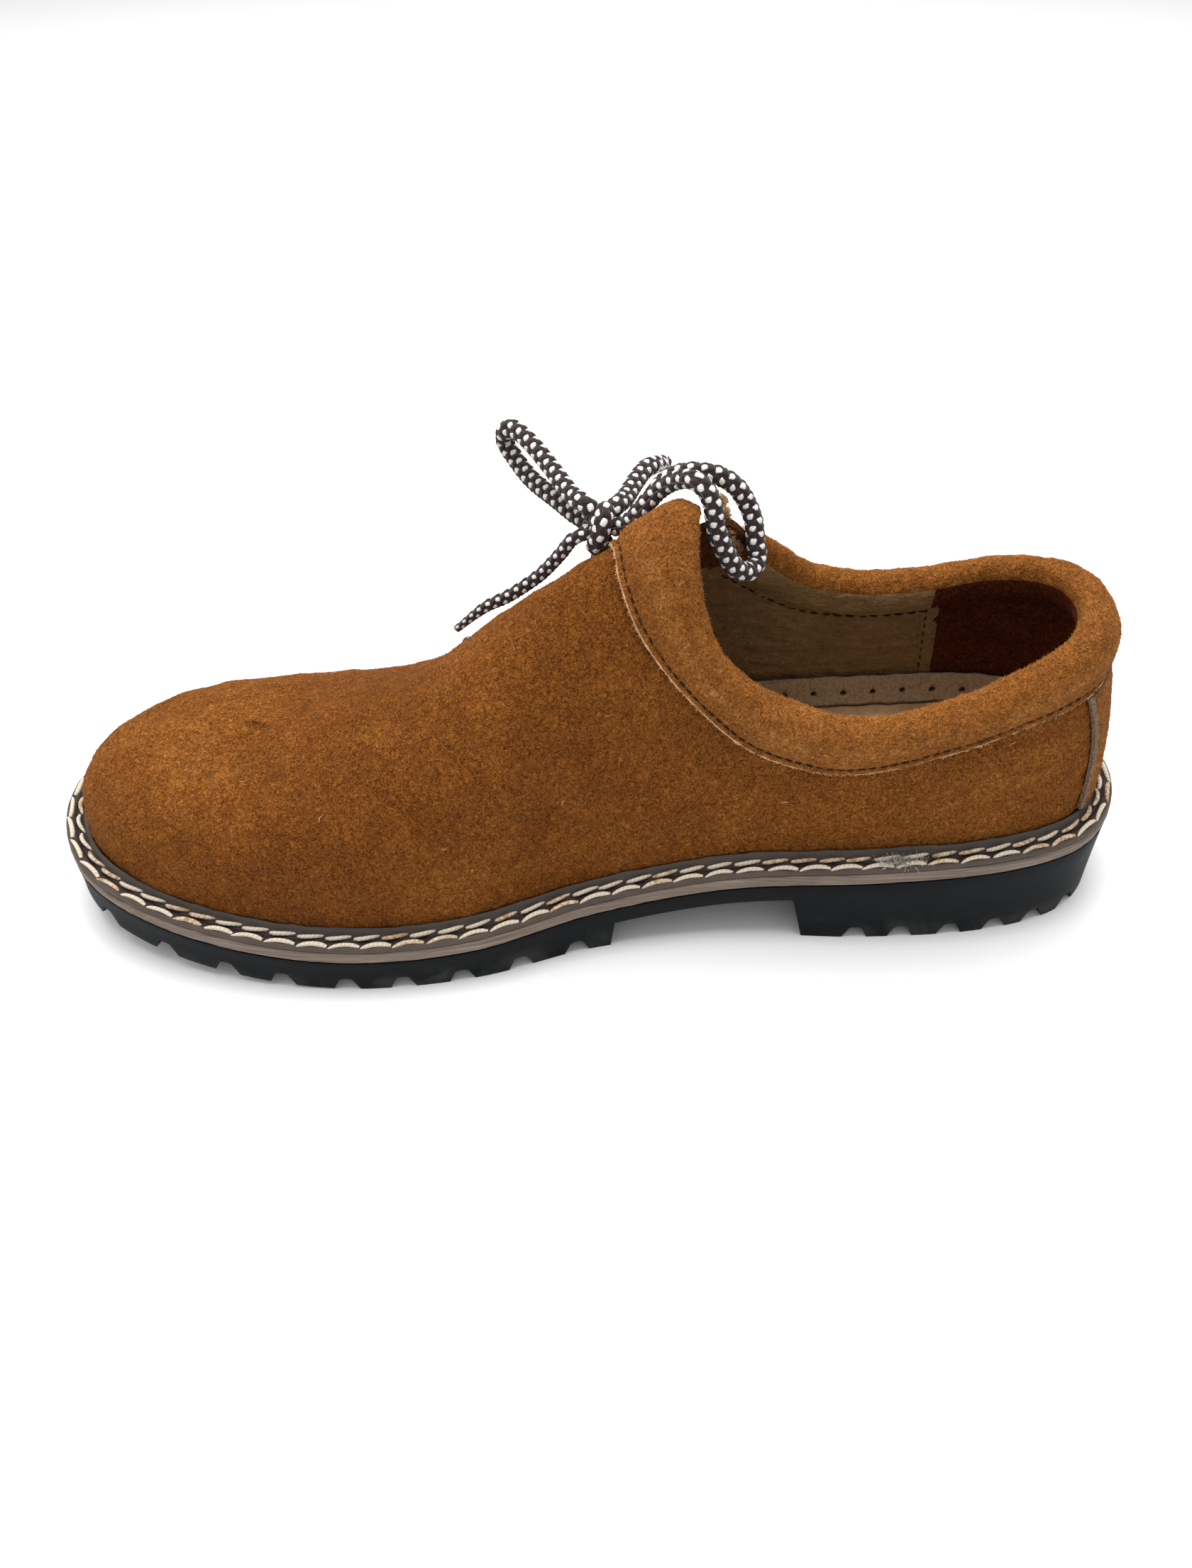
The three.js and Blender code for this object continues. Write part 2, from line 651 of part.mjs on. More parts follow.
const MATERIALS = {
  suede: { color: 0x7d491d, roughness: 0.95, metalness: 0 },
  collar_suede: { color: 0x8f572b, roughness: 0.92, metalness: 0 },
  black_rubber: { color: 0x171c20, roughness: 0.7, metalness: 0 },
  taupe_midsole: { color: 0x64584e, roughness: 0.8, metalness: 0 },
  welt: { color: 0x2d211d, roughness: 0.8, metalness: 0 },
  footbed_leather: { color: 0x675133, roughness: 0.75, metalness: 0 },
  lace: { color: 0x241d1a, roughness: 0.9, metalness: 0 },
};

function piece(name, geometry, material) {
  const mesh = new THREE.Mesh(geometry, new THREE.MeshStandardMaterial(MATERIALS[material]));
  mesh.name = name;
  return mesh;
}

const shoe = new THREE.Group();
shoe.add(
  piece('outsole', outsole(), 'black_rubber'),
  piece('midsole', midsole(), 'taupe_midsole'),
  piece('welt', welt(), 'welt'),
  piece('insole', insole(), 'footbed_leather'),
  piece('upper', upper(), 'suede'),
  piece('collar', collar(), 'collar_suede'),
  piece('backstay', backstay(), 'suede'),
  piece('tongue', tongue(), 'suede'),
  piece('lace_bars', laceBars(), 'lace'),
  piece('lace_knot', knot(), 'lace'),
  piece('lace_loop_front', cord(LOOP_FRONT, 14), 'lace'),
  piece('lace_loop_back', cord(LOOP_BACK, 24), 'lace'),
  piece('lace_end_front', cord(END_FRONT, 8), 'lace'),
  piece('lace_end_back', cord(END_BACK, 7), 'lace'),
);

export default shoe;
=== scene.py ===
import math

import bmesh
import bpy
import numpy as np
from mathutils import Matrix, Vector


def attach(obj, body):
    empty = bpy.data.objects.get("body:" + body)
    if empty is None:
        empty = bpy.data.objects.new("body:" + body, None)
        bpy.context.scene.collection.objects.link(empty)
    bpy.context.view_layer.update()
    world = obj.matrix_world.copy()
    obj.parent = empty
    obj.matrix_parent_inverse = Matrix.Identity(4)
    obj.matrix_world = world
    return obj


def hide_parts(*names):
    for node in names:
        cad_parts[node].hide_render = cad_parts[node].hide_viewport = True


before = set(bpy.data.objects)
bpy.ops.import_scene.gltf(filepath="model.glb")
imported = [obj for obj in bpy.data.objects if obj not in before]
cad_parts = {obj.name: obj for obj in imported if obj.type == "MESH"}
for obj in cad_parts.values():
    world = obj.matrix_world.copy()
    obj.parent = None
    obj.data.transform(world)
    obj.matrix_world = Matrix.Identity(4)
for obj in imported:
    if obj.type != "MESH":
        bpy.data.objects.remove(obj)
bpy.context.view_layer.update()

chance = np.random.default_rng(7)
MM = 0.001

# Driving dimensions
LENGTH = 300
GAP = 0.3
HEEL_HEIGHT, HEEL_SEAT_RISE, HEEL_SEAT_END = 22, 3, 70
BALL_HEIGHT, SHANK_START, SHANK_END = 10.5, 60, 200
TOE_SPRING, SPRING_START, SPRING_POWER = 10, 205, 1.8
MIDSOLE = 4
ARCH_RUBBER, BREAST_AT, BREAST_LEAN, LUG_END = 5.5, 90, 4.5, 144
LUG_DEPTH, LUG_REACH, NOTCH_WIDTH, NOTCH_FLARE = 4, 16, 4.4, 4.4
FORE_NOTCHES = [154.7, 170.2, 186.2, 202.2, 217.6, 235.1, 250.6, 268, 285.5]
HEEL_NOTCHES = [13.5, 24.7, 36.4, 49.6, 63.6, 76.4]
WELT_WIDTH = 7
WALL = 2.2
HEEL_FAN, TOE_FAN, FAN_EASE = 42, 238, 14
LACE_HOLE = 5.6
INSOLE, INSOLE_RIM, INSOLE_FIT = 4, 12, 10.4
CORD = 5

# Sole outline: station from the heel back, medial side, lateral side
OUTLINE = np.array([
    (0, 0, 0), (4, -16.5, 17), (16, -29.5, 29.5), (40, -36.5, 36.5), (75, -37.7, 38.2),
    (115, -35, 41), (150, -38.5, 46.5), (180, -47, 51.5), (205, -50, 52.4), (228, -49.2, 51.2),
    (252, -44.4, 47.6), (273, -36.3, 41), (289, -25, 30.5), (298, -9.5, 15.5), (300, 3, 3),
], float)

# Crest of the last: station from the heel back, side, height
CREST = np.array([
    (40, 0, 116), (85, 0, 119), (113, 1, 119.5), (121, 1, 118.6), (129, 1, 114.4),
    (138, 1, 106.4), (150, 0, 99.5), (170, -3, 86.3), (190, -5, 70.9), (210, -5, 61.6),
    (238, -2, 52.8), (260, 0, 50.4),
], float)

# Walls: station, lean out, how high they stay steep, how far the top stays flat
MEDIAL_WALL = np.array([
    (7, -1, 0.5, 0.43), (40, 0.5, 0.5, 0.5), (90, 1, 0.48, 0.5), (128, 1, 0.45, 0.35),
    (160, 3, 0.5, 0.42), (200, 4, 0.6, 0.55), (240, 4, 0.75, 0.6), (293, 2.7, 0.91, 0.62),
])
LATERAL_WALL = np.array([
    (7, -1, 0.5, 0.43), (40, 0.5, 0.5, 0.5), (90, 2, 0.48, 0.5), (128, 2, 0.45, 0.35),
    (160, 3, 0.45, 0.35), (200, 3, 0.5, 0.35), (240, 4, 0.74, 0.57), (293, 2.7, 0.91, 0.62),
])

# Collar: turn and climb of its top line, turn and climb of its band's lower edge
COLLAR = np.array([
    (-81.2, 1.12, -86.7, 1.12), (-80.9, 0.98, -86.5, 0.97), (-80.3, 0.78, -86.1, 0.79),
    (-79, 0.6, -84.4, 0.61), (-76.6, 0.47, -80.8, 0.435), (-72.1, 0.39, -75, 0.295),
    (-66, 0.35, -68, 0.23), (-60, 0.345, -61, 0.225), (-51, 0.385, -51, 0.265),
    (-40, 0.445, -40, 0.31), (-20, 0.5, -20, 0.35), (0, 0.515, 0, 0.36), (20, 0.505, 20, 0.36),
    (40, 0.475, 40, 0.34), (52, 0.424, 52, 0.29), (61, 0.422, 62, 0.29), (67, 0.47, 69, 0.34),
    (72, 0.59, 77, 0.47),
])
UPPER_EDGE_DOWN = 0.3

# Section of the collar's roll: place down from its top line (0) to the band's edge (1), distance
# out from the last; first over the top and down inside, then back round the upper's edge
ROLL_FACE = np.array([
    (1, 1.5), (0.95, 1.75), (0.91, 1.35), (0.86, 1.95), (0.74, 3), (0.56, 3.8), (0.32, 3.9),
    (0.12, 2.6), (-0.02, -0.4), (0.03, -3.4), (0.22, -5.4), (0.5, -5.7), (0.7, -4.9),
])
ROLL_BACK = np.array([
    (0.7, -3.7), (0.5, -3.7), (0.3, -3.6), (0.18, -2.8), (0.14, -1.1), (0.19, 0), (0.34, 0.6),
    (0.56, 0.6), (0.82, 0.6), (1, 0.6),
])

# Side throat: turn, climb of its medial and of its lateral edge
THROAT = np.array([
    (72, 0.48, 0.58), (82, 1.12, 0.6), (88, 1.25, 0.58), (96, 1.37, 0.55), (104, 1.44, 0.52),
    (110, 1.49, 0.51),
])
# Lace holes in pairs on the lateral side: turn, climb near the crest, climb below
HOLES = [(88.5, 0.81, 0.52), (95.5, 0.695, 0.48), (102.5, 0.63, 0.46)]
KNOT_REACH = (88.4, 0.65)

# Routes of the bow, from the knot outwards
KNOT = np.array([4.4, 11, 104.6])
LOOP_FRONT = np.array([
    (3.4, 12, 107), (1, 13.8, 109.5), (-2, 17.4, 109.6), (-7.5, 27, 112.6), (-12.3, 34, 115.6),
    (-16.5, 39, 117.1), (-19, 41, 116.2), (-19.7, 43, 112.1), (-17.5, 40.5, 108.9),
    (-12.8, 34, 105.5), (-6, 25.5, 103.9), (-1.8, 20.4, 102.8), (1.9, 16.3, 102.6), (4, 13, 103.4),
]) * MM
LOOP_BACK = np.array([
    (7.4, 10.6, 104.6), (10.9, 10, 105.5), (12.9, 10, 107.4), (15.5, 10, 110.8), (19.4, 10, 115.4),
    (23.7, 8, 118.8), (27.8, 4, 120.2), (31, 1.8, 116.4), (32.4, 0, 109.4), (35, -1, 103.3),
    (38.1, -1, 98.7), (41.6, 1, 96.8), (43.8, 4, 98.3), (43.2, 6, 102.6), (42.7, 8, 106.8),
    (40.9, 10, 110.9), (38, 11, 114.9), (33.9, 12, 117.3), (29.8, 13, 117.8), (25.9, 14.4, 117.2),
    (21.3, 15.6, 114.7), (16.5, 15, 108.6), (12.9, 14.2, 103.9), (8.8, 12.6, 103),
]) * MM
END_FRONT = np.array([
    (2.2, 9.4, 104.2), (-2.4, 9.4, 102.2), (-5.7, 10.2, 97.4), (-10.6, 11.2, 91.2),
    (-15.4, 11.4, 87.2), (-20.4, 11.8, 83.6), (-26.5, 12.4, 80), (-34.6, 14, 72.2),
]) * MM
END_BACK = np.array([
    (6.2, 12.4, 106.6), (8.6, 15, 107.9), (11.3, 20, 107.4), (14.1, 26, 108.3),
    (17.6, 32, 109.1), (22.9, 39, 106.6),
]) * MM

# Camera at the photograph's angle, and the photograph's size
PHOTO_WIDTH, PHOTO_HEIGHT = 1680, 2210
FOCAL_PIXELS = 1682
CAMERA_ELEVATION, CAMERA_AZIMUTH, CAMERA_ROLL = 43.4, -1.4, -0.8
CAMERA_DISTANCE = 326
CAMERA_TARGET = (1.9, -15.0, 40)


# Smooth reading of a table's column, with slopes taken from the neighbouring rows
def reading(table, column, x, key=0):
    xs, ys = table[:, key], table[:, column]
    last_row = len(xs) - 1
    before = np.maximum(np.arange(len(xs)) - 1, 0)
    after = np.minimum(np.arange(len(xs)) + 1, last_row)
    slopes = (ys[after] - ys[before]) / (xs[after] - xs[before])
    i = np.clip(np.searchsorted(xs, x, side="left") - 1, 0, last_row - 1)
    span = xs[i + 1] - xs[i]
    t = np.clip((x - xs[i]) / span, 0, 1)
    rise = ys[i + 1] - ys[i]
    m0, m1 = slopes[i] * span, slopes[i + 1] * span
    return ys[i] + t * m0 + t**2 * (3 * rise - 2 * m0 - m1) + t**3 * (m0 + m1 - 2 * rise)


def lerp(a, b, t):
    return a + (b - a) * t


def smoothstep(x, low, high):
    t = np.clip((x - low) / (high - low), 0, 1)
    return t * t * (3 - 2 * t)


def unit(v):
    return v / np.maximum(np.linalg.norm(v, axis=-1, keepdims=True), 1e-12)


def station_at(turn):
    return LENGTH / 2 * (1 - np.cos(np.radians(turn)))


def turn_at(station):
    return np.degrees(np.arccos(1 - 2 * station / LENGTH))


TURNED_OUTLINE = np.column_stack([turn_at(OUTLINE[:, 0]), OUTLINE[:, 1], OUTLINE[:, 2]])


def side_at(turn):
    size = np.abs(turn)
    return np.where(turn < 0, reading(TURNED_OUTLINE, 1, size), reading(TURNED_OUTLINE, 2, size))


half_turn = np.arange(181.0)
CENTRE = (side_at(-half_turn).min() + side_at(half_turn).max()) / 2


def wrapped(angle):
    return (np.asarray(angle, float) + 180) % 360 - 180


# Point of the sole's edge at a turn round the outline, set in from the edge
def edge(turn, inset=0.0):
    def at(angle):
        angle = wrapped(angle)
        return np.stack([LENGTH / 2 - station_at(angle), side_at(angle) - CENTRE], -1)
    along = unit(at(turn + 1.5) - at(turn - 1.5))
    inward = np.stack([-along[..., 1], along[..., 0]], -1)
    return at(turn) + inward * np.asarray(inset, float)[..., None]


def tread_height(s):
    share = np.maximum(s - SPRING_START, 0) / (LENGTH - SPRING_START)
    return TOE_SPRING * share**SPRING_POWER


def rubber_top(s):
    seat = HEEL_HEIGHT + HEEL_SEAT_RISE * np.maximum(1 - s / HEEL_SEAT_END, 0)
    return lerp(seat, BALL_HEIGHT, smoothstep(s, SHANK_START, SHANK_END)) + tread_height(s)


def midsole_top(s):
    return rubber_top(s) + MIDSOLE


# Point of the sole's edge with a height over a function of the station
def edge_point(turn, inset, base, height=0.0):
    at = edge(turn, inset)
    z = base(LENGTH / 2 - at[..., 0]) + height
    return np.concatenate([at, np.broadcast_to(z, at.shape[:-1])[..., None]], -1)


def crest_station(s):
    def soft(x):
        return (x + np.hypot(x, FAN_EASE)) / 2
    return HEEL_FAN + soft(s - HEEL_FAN) - soft(s - TOE_FAN)


# Point of the last's surface. A climb over 1 goes down the other side of the crest.
def last(turn, climb):
    turn, climb = np.broadcast_arrays(np.asarray(turn, float), np.asarray(climb, float))
    over = climb > 1
    turn = wrapped(np.where(over, -turn, turn))
    climb = np.where(over, 2 - climb, climb)
    foot = edge(turn, WELT_WIDTH)
    s = LENGTH / 2 - foot[..., 0]
    crest_s = crest_station(s)
    top = reading(CREST, 2, crest_s)
    crest = np.stack([LENGTH / 2 - crest_s, reading(CREST, 1, crest_s)], -1)
    fall = (reading(CREST, 2, crest_s + 1) - top) * (s - crest_s)
    bottom = midsole_top(s) + 2 * GAP
    lean, rise, flat = [
        np.where(turn < 0, reading(MEDIAL_WALL, c, s), reading(LATERAL_WALL, c, s)) for c in (1, 2, 3)
    ]
    inward = unit(crest - foot)
    low = foot - inward * lean[..., None]
    high = lerp(crest, foot, flat[..., None])
    t = climb[..., None]
    corners = [
        np.concatenate([foot, bottom[..., None]], -1),
        np.concatenate([low, lerp(bottom, top, rise)[..., None]], -1),
        np.concatenate([high, (top + fall * flat)[..., None]], -1),
        np.concatenate([crest, top[..., None]], -1),
    ]
    weights = [(1 - t) ** 3, 3 * t * (1 - t) ** 2, 3 * t**2 * (1 - t), t**3]
    return sum(w * c for w, c in zip(weights, corners))


def outward(turn, climb):
    along = last(turn + 0.75, climb) - last(turn - 0.75, climb)
    rising = last(turn, climb + 0.01) - last(turn, np.maximum(climb - 0.01, 0))
    return unit(np.cross(along, rising))


# The same point moved out from the last, or in where the distance is below 0
def skin(turn, climb, out=0.0):
    turn, climb = np.broadcast_arrays(np.asarray(turn, float), np.asarray(climb, float))
    return last(turn, climb) + outward(turn, climb) * np.asarray(out, float)[..., None]


# Smooth line through listed points, with evenly spaced samples
def smooth_line(points, step):
    points = np.asarray(points, float)
    padded = np.vstack([2 * points[0] - points[1], points, 2 * points[-1] - points[-2]])
    fine = []
    for k in range(len(points) - 1):
        p0, p1, p2, p3 = padded[k:k + 4]
        t = np.linspace(0, 1, 24, endpoint=False)[:, None]
        fine.append(0.5 * (2 * p1 + (p2 - p0) * t + (2 * p0 - 5 * p1 + 4 * p2 - p3) * t**2
                           + (3 * p1 - p0 - 3 * p2 + p3) * t**3))
    fine = np.vstack(fine + [points[-1:]])
    length = np.r_[0, np.cumsum(np.linalg.norm(np.diff(fine, axis=0), axis=1))]
    at = np.linspace(0, length[-1], max(int(round(length[-1] / step)), 2) + 1)
    return np.column_stack([np.interp(at, length, fine[:, c]) for c in range(points.shape[1])])


def line_length(points):
    return float(np.linalg.norm(np.diff(points, axis=0), axis=1).sum())


# Turning frames along a line, with no twist
def frames_along(points):
    tangents = unit(np.gradient(points, axis=0))
    side = unit(np.cross(tangents[0], (0.3, 0.2, 1.0)))
    sides = []
    for tangent in tangents:
        side = unit(side - tangent * (side @ tangent))
        sides.append(side)
    sides = np.array(sides)
    return tangents, sides, np.cross(tangents, sides)


# Sum of soft waves in space: a repeatable roughness for meshes, about -1 to 1
def ripple(points, wavelength, seed, waves=14):
    draw = np.random.default_rng(seed)
    total = np.zeros(points.shape[:-1])
    for _ in range(waves):
        direction = unit(draw.normal(size=3))
        pace = 2 * np.pi / (wavelength * draw.uniform(0.6, 1.6))
        total += np.sin(points @ direction * pace + draw.uniform(0, 2 * np.pi))
    return total / math.sqrt(waves)


# Mesh object from points in millimetres and faces, with optional corner coordinates
def make_mesh(name, points, faces, materials, uv=None, weld=0.0, sharp=40, groups=None):
    mesh = bpy.data.meshes.new(name)
    mesh.from_pydata((np.asarray(points).reshape(-1, 3) * MM).tolist(), [], faces)
    if uv is not None:
        uv = np.asarray(uv, float).reshape(-1, 2)
        layer = mesh.uv_layers.new(name="UVMap")
        loops = np.zeros(len(mesh.loops), np.int64)
        mesh.loops.foreach_get("vertex_index", loops)
        layer.data.foreach_set("uv", uv[loops].astype(np.float32).ravel())
    for material in materials:
        mesh.materials.append(material)
    if groups is not None:
        mesh.polygons.foreach_set("material_index", np.asarray(groups, np.int32))
    piece = bpy.data.objects.new(name, mesh)
    bpy.context.scene.collection.objects.link(piece)
    shape = bmesh.new()
    shape.from_mesh(mesh)
    if weld:
        bmesh.ops.remove_doubles(shape, verts=shape.verts, dist=weld * MM)
    bmesh.ops.recalc_face_normals(shape, faces=shape.faces)
    shape.to_mesh(mesh)
    shape.free()
    mesh.polygons.foreach_set("use_smooth", np.ones(len(mesh.polygons), bool))
    mesh.set_sharp_from_angle(angle=math.radians(sharp))
    return piece


def grid_faces(rows, columns, close_rows=False, close_columns=False, start=0):
    faces = []
    for r in range(rows if close_rows else rows - 1):
        here, there = start + r * columns, start + (r + 1) % rows * columns
        for c in range(columns if close_columns else columns - 1):
            d = (c + 1) % columns
            faces.append((here + c, here + d, there + d, there + c))
    return faces


# A value for every point of a piece, which its look reads by name
def mark(piece, name, values):
    layer = piece.data.attributes.new(name, "FLOAT", "POINT")
    layer.data.foreach_set("value", np.asarray(values, np.float32).ravel())


# Faces across the middle of the ring that one column of a grid makes round the outline
def ring_cap(rows, columns, column):
    ring = [r * columns + column for r in range(rows)]
    half = rows // 2
    strip = [(ring[k], ring[k + 1], ring[(rows - k - 1) % rows], ring[(rows - k) % rows])
             for k in range(1, half - 1)]
    ends = [(ring[0], ring[1], ring[rows - 1]), (ring[half - 1], ring[half], ring[half + 1])]
    return strip + ends


# Section points with one more between every two
def halved(points):
    return np.vstack([np.linspace(a, b, 3)[:-1] for a, b in zip(points[:-1], points[1:])] + [points[-1:]])


# Closed slab between two grids of the same size
def slab(name, outer, inner, materials, rim_material=0):
    rows, columns = outer.shape[:2]
    count = rows * columns
    faces = grid_faces(rows, columns)
    faces += [tuple(i + count for i in face[::-1]) for face in faces]
    groups = [0] * len(faces)
    border = list(range(columns))
    border += [r * columns + columns - 1 for r in range(1, rows)]
    border += [(rows - 1) * columns + c for c in range(columns - 2, -1, -1)]
    border += [r * columns for r in range(rows - 2, 0, -1)]
    for a, b in zip(border, border[1:] + border[:1]):
        faces.append((a, a + count, b + count, b))
        groups.append(rim_material)
    points = np.concatenate([outer.reshape(-1, 3), inner.reshape(-1, 3)])
    return make_mesh(name, points, faces, materials, groups=groups)


# Tube along a line in millimetres; radius may change along it
def tube_points(points, radius, sides, relief=None):
    tangents, side, other = frames_along(points)
    angles = np.linspace(0, 2 * np.pi, sides, endpoint=False)
    radius = np.broadcast_to(radius, len(points))[:, None] * np.ones(sides)
    if relief is not None:
        radius = radius + relief
    cos, sin = np.cos(angles)[None, :, None], np.sin(angles)[None, :, None]
    ring = cos * side[:, None] + sin * other[:, None]
    return points[:, None] + ring * radius[..., None]


def tube_faces(rows, sides, start=0):
    faces = grid_faces(rows, sides, close_columns=True, start=start)
    faces.append(tuple(start + c for c in range(sides))[::-1])
    faces.append(tuple(start + (rows - 1) * sides + c for c in range(sides)))
    return faces


def join_tubes(name, tubes, materials, uvs=None, sharp=60):
    points, faces, start = [], [], 0
    for tube in tubes:
        rows, sides = tube.shape[:2]
        points.append(tube.reshape(-1, 3))
        faces += tube_faces(rows, sides, start)
        start += rows * sides
    uv = None if uvs is None else np.concatenate([each.reshape(-1, 2) for each in uvs])
    return make_mesh(name, np.concatenate(points), faces, materials, uv, sharp=sharp)


# A socket of a shader tree, so that shader sums read as sums
class Socket:
    def __init__(self, tree, socket):
        self.tree = tree
        self.socket = socket

    def math(self, operation, *values):
        node = self.tree.nodes.new("ShaderNodeMath")
        node.operation = operation
        for slot, value in zip(node.inputs, values):
            feed(self.tree, slot, value)
        return Socket(self.tree, node.outputs[0])

    def __add__(self, other):
        return self.math("ADD", self, other)

    def __sub__(self, other):
        return self.math("SUBTRACT", self, other)

    def __mul__(self, other):
        return self.math("MULTIPLY", self, other)

    def __truediv__(self, other):
        return self.math("DIVIDE", self, other)

    def __pow__(self, other):
        return self.math("POWER", self, other)

    def __radd__(self, other):
        return self.math("ADD", other, self)

    def __rsub__(self, other):
        return self.math("SUBTRACT", other, self)

    def __abs__(self):
        return self.math("ABSOLUTE", self)

    def floor(self):
        return self.math("FLOOR", self)

    def fraction(self):
        return self.math("FRACT", self)

    def sine(self):
        return self.math("SINE", self)

    def least(self, other):
        return self.math("MINIMUM", self, other)

    def most(self, other):
        return self.math("MAXIMUM", self, other)

    def parity(self):
        return self.math("PINGPONG", self, 1.0)

    # 0 below low, 1 above high, smooth between; it falls where low is over high
    def step(self, low, high):
        node = self.tree.nodes.new("ShaderNodeMapRange")
        node.interpolation_type = "SMOOTHSTEP"
        falling = low > high
        values = (high, low, 1.0, 0.0) if falling else (low, high, 0.0, 1.0)
        feed(self.tree, node.inputs["Value"], self)
        for key, value in zip(("From Min", "From Max", "To Min", "To Max"), values):
            node.inputs[key].default_value = value
        return Socket(self.tree, node.outputs[0])


def feed(tree, slot, value):
    if isinstance(value, Socket):
        tree.links.new(value.socket, slot)
    else:
        slot.default_value = value


def rgb(red, green, blue):
    share = np.array([red, green, blue]) / 255
    linear = np.where(share <= 0.04045, share / 12.92, ((share + 0.055) / 1.055) ** 2.4)
    return (*[float(v) for v in linear], 1.0)


# A material with a Principled surface and the few kinds of node that the looks are made of
class Look:
    def __init__(self, name, roughness=0.8, **constants):
        self.material = bpy.data.materials.new(name)
        self.material.use_nodes = True
        self.tree = self.material.node_tree
        self.surface = self.tree.nodes["Principled BSDF"]
        self.set(Roughness=roughness, **constants)
        place = self.node("ShaderNodeTexCoord", out="Object")
        self.mm = self.vector("SCALE", place, Scale=1 / MM)

    def set(self, **values):
        for key, value in values.items():
            feed(self.tree, self.surface.inputs[key.replace("_", " ")], value)

    def node(self, kind, settings=None, inputs=None, out=0):
        node = self.tree.nodes.new(kind)
        for key, value in (settings or {}).items():
            setattr(node, key, value)
        for key, value in (inputs or {}).items():
            feed(self.tree, node.inputs[key], value)
        return Socket(self.tree, node.outputs[out])

    def vector(self, operation, a, b=None, **inputs):
        values = {0: a, **({} if b is None else {1: b}), **inputs}
        return self.node("ShaderNodeVectorMath", {"operation": operation}, values)

    def noise(self, pace, detail=3.0, roughness=0.5, distortion=0.0, at=None):
        inputs = {"Vector": at or self.mm, "Scale": pace, "Detail": detail, "Roughness": roughness,
                  "Distortion": distortion}
        return self.node("ShaderNodeTexNoise", None, inputs, "Fac")

    def cells(self, pace):
        inputs = {"Vector": self.mm, "Scale": pace}
        return self.node("ShaderNodeTexVoronoi", None, inputs, "Distance")

    def stretched(self, x, y, z):
        return self.vector("MULTIPLY", self.mm, (x, y, z))

    def shifted(self, x, y, z):
        return self.vector("ADD", self.mm, (x, y, z))

    def mix(self, factor, a, b, blend="MIX"):
        settings = {"data_type": "RGBA", "blend_type": blend}
        return self.node("ShaderNodeMix", settings, {0: factor, 6: a, 7: b}, 2)

    def ramp(self, factor, stops):
        node = self.tree.nodes.new("ShaderNodeValToRGB")
        feed(self.tree, node.inputs[0], factor)
        elements = node.color_ramp.elements
        while len(elements) < len(stops):
            elements.new(0.5)
        for element, (place, colour) in zip(elements, stops):
            element.position = place
            element.color = colour
        return Socket(self.tree, node.outputs[0])

    def attribute(self, name):
        return self.node("ShaderNodeAttribute", {"attribute_name": name}, None, "Fac")

    def parts(self, vector):
        node = self.tree.nodes.new("ShaderNodeSeparateXYZ")
        feed(self.tree, node.inputs[0], vector)
        return [Socket(self.tree, output) for output in node.outputs]

    def uv(self):
        return self.parts(self.node("ShaderNodeTexCoord", out="UV"))[:2]

    # Relief from a height in millimetres
    def bump(self, height, strength=1.0):
        inputs = {"Height": height, "Distance": MM, "Strength": strength}
        self.set(Normal=self.node("ShaderNodeBump", None, inputs))


# Napped suede: two layers of curled strands over dark gaps, with brushed patches, and marked patches that
# are rubbed nap, painted highlights and painted shade
def suede_look(name, gap, deep, mid, tip, sheen=0.2, rub_and_light_amount=0.5):
    look = Look(name, 0.95, Sheen_Weight=sheen, Sheen_Roughness=0.6, Sheen_Tint=tip,
                Specular_IOR_Level=0.1)
    strands = 1.0 - abs(look.noise(0.7, 2.0, 0.5, 1.2) - 0.5) * 6.0
    finer = 1.0 - abs(look.noise(1.0, 2.0, 0.5, 1.4, at=look.shifted(37, 11, 5)) - 0.5) * 6.0
    matted = strands.most(finer).most(0.0).least(1.0)
    grain = look.noise(2.2, 3.0, 0.6)
    brushed = look.noise(0.045, 4.0, 0.62, 0.8)
    patches = look.noise(0.014, 2.0, 0.5, 0.4)
    # Marked patches: rubbed nap, and painted highlight and painted shade where the spots stand in for
    # light
    rub_and_light = look.attribute("rub_and_light") * look.noise(0.22, 3.0, 0.6).step(0.25, 0.7) * rub_and_light_amount
    value = (matted * 0.46 + grain * 0.38 + (brushed - 0.5) * 0.28 + (patches - 0.5) * 0.2
             + rub_and_light * 0.4)
    shade = look.ramp(value, [(0.1, gap), (0.36, deep), (0.6, mid), (0.94, tip)])
    look.set(Base_Color=shade)
    look.bump(matted * 0.6 + grain * 0.25, 1.0)
    return look


# Loose fibres, each of its own shade
def fibre_look(name, dark, light):
    look = Look(name, 0.9, Specular_IOR_Level=0.1)
    patch = look.noise(0.05, 3.0, 0.6)
    share = (look.attribute("shade") * 0.75 + patch * 0.4).least(1.0)
    look.set(Base_Color=look.mix(share, dark, light))
    return look


def plain_leather(name, colour, dark, pace, depth, roughness=0.6, seam=None):
    look = Look(name, roughness, Specular_IOR_Level=0.3)
    creases = look.cells(pace)
    soft = look.noise(pace * 0.5, 4.0, 0.6, 1.2)
    grain = creases.step(0.9, 0.1) * 0.4 + soft * 0.9
    shade = look.mix(grain.step(0.2, 0.95), dark, colour)
    # Colour along a marked line; on the footbed it is painted shade in a groove
    if seam:
        shade = look.mix(look.attribute("seam").step(0.3, 0.9), shade, seam)
    look.set(Base_Color=shade)
    look.bump(grain, depth)
    return look
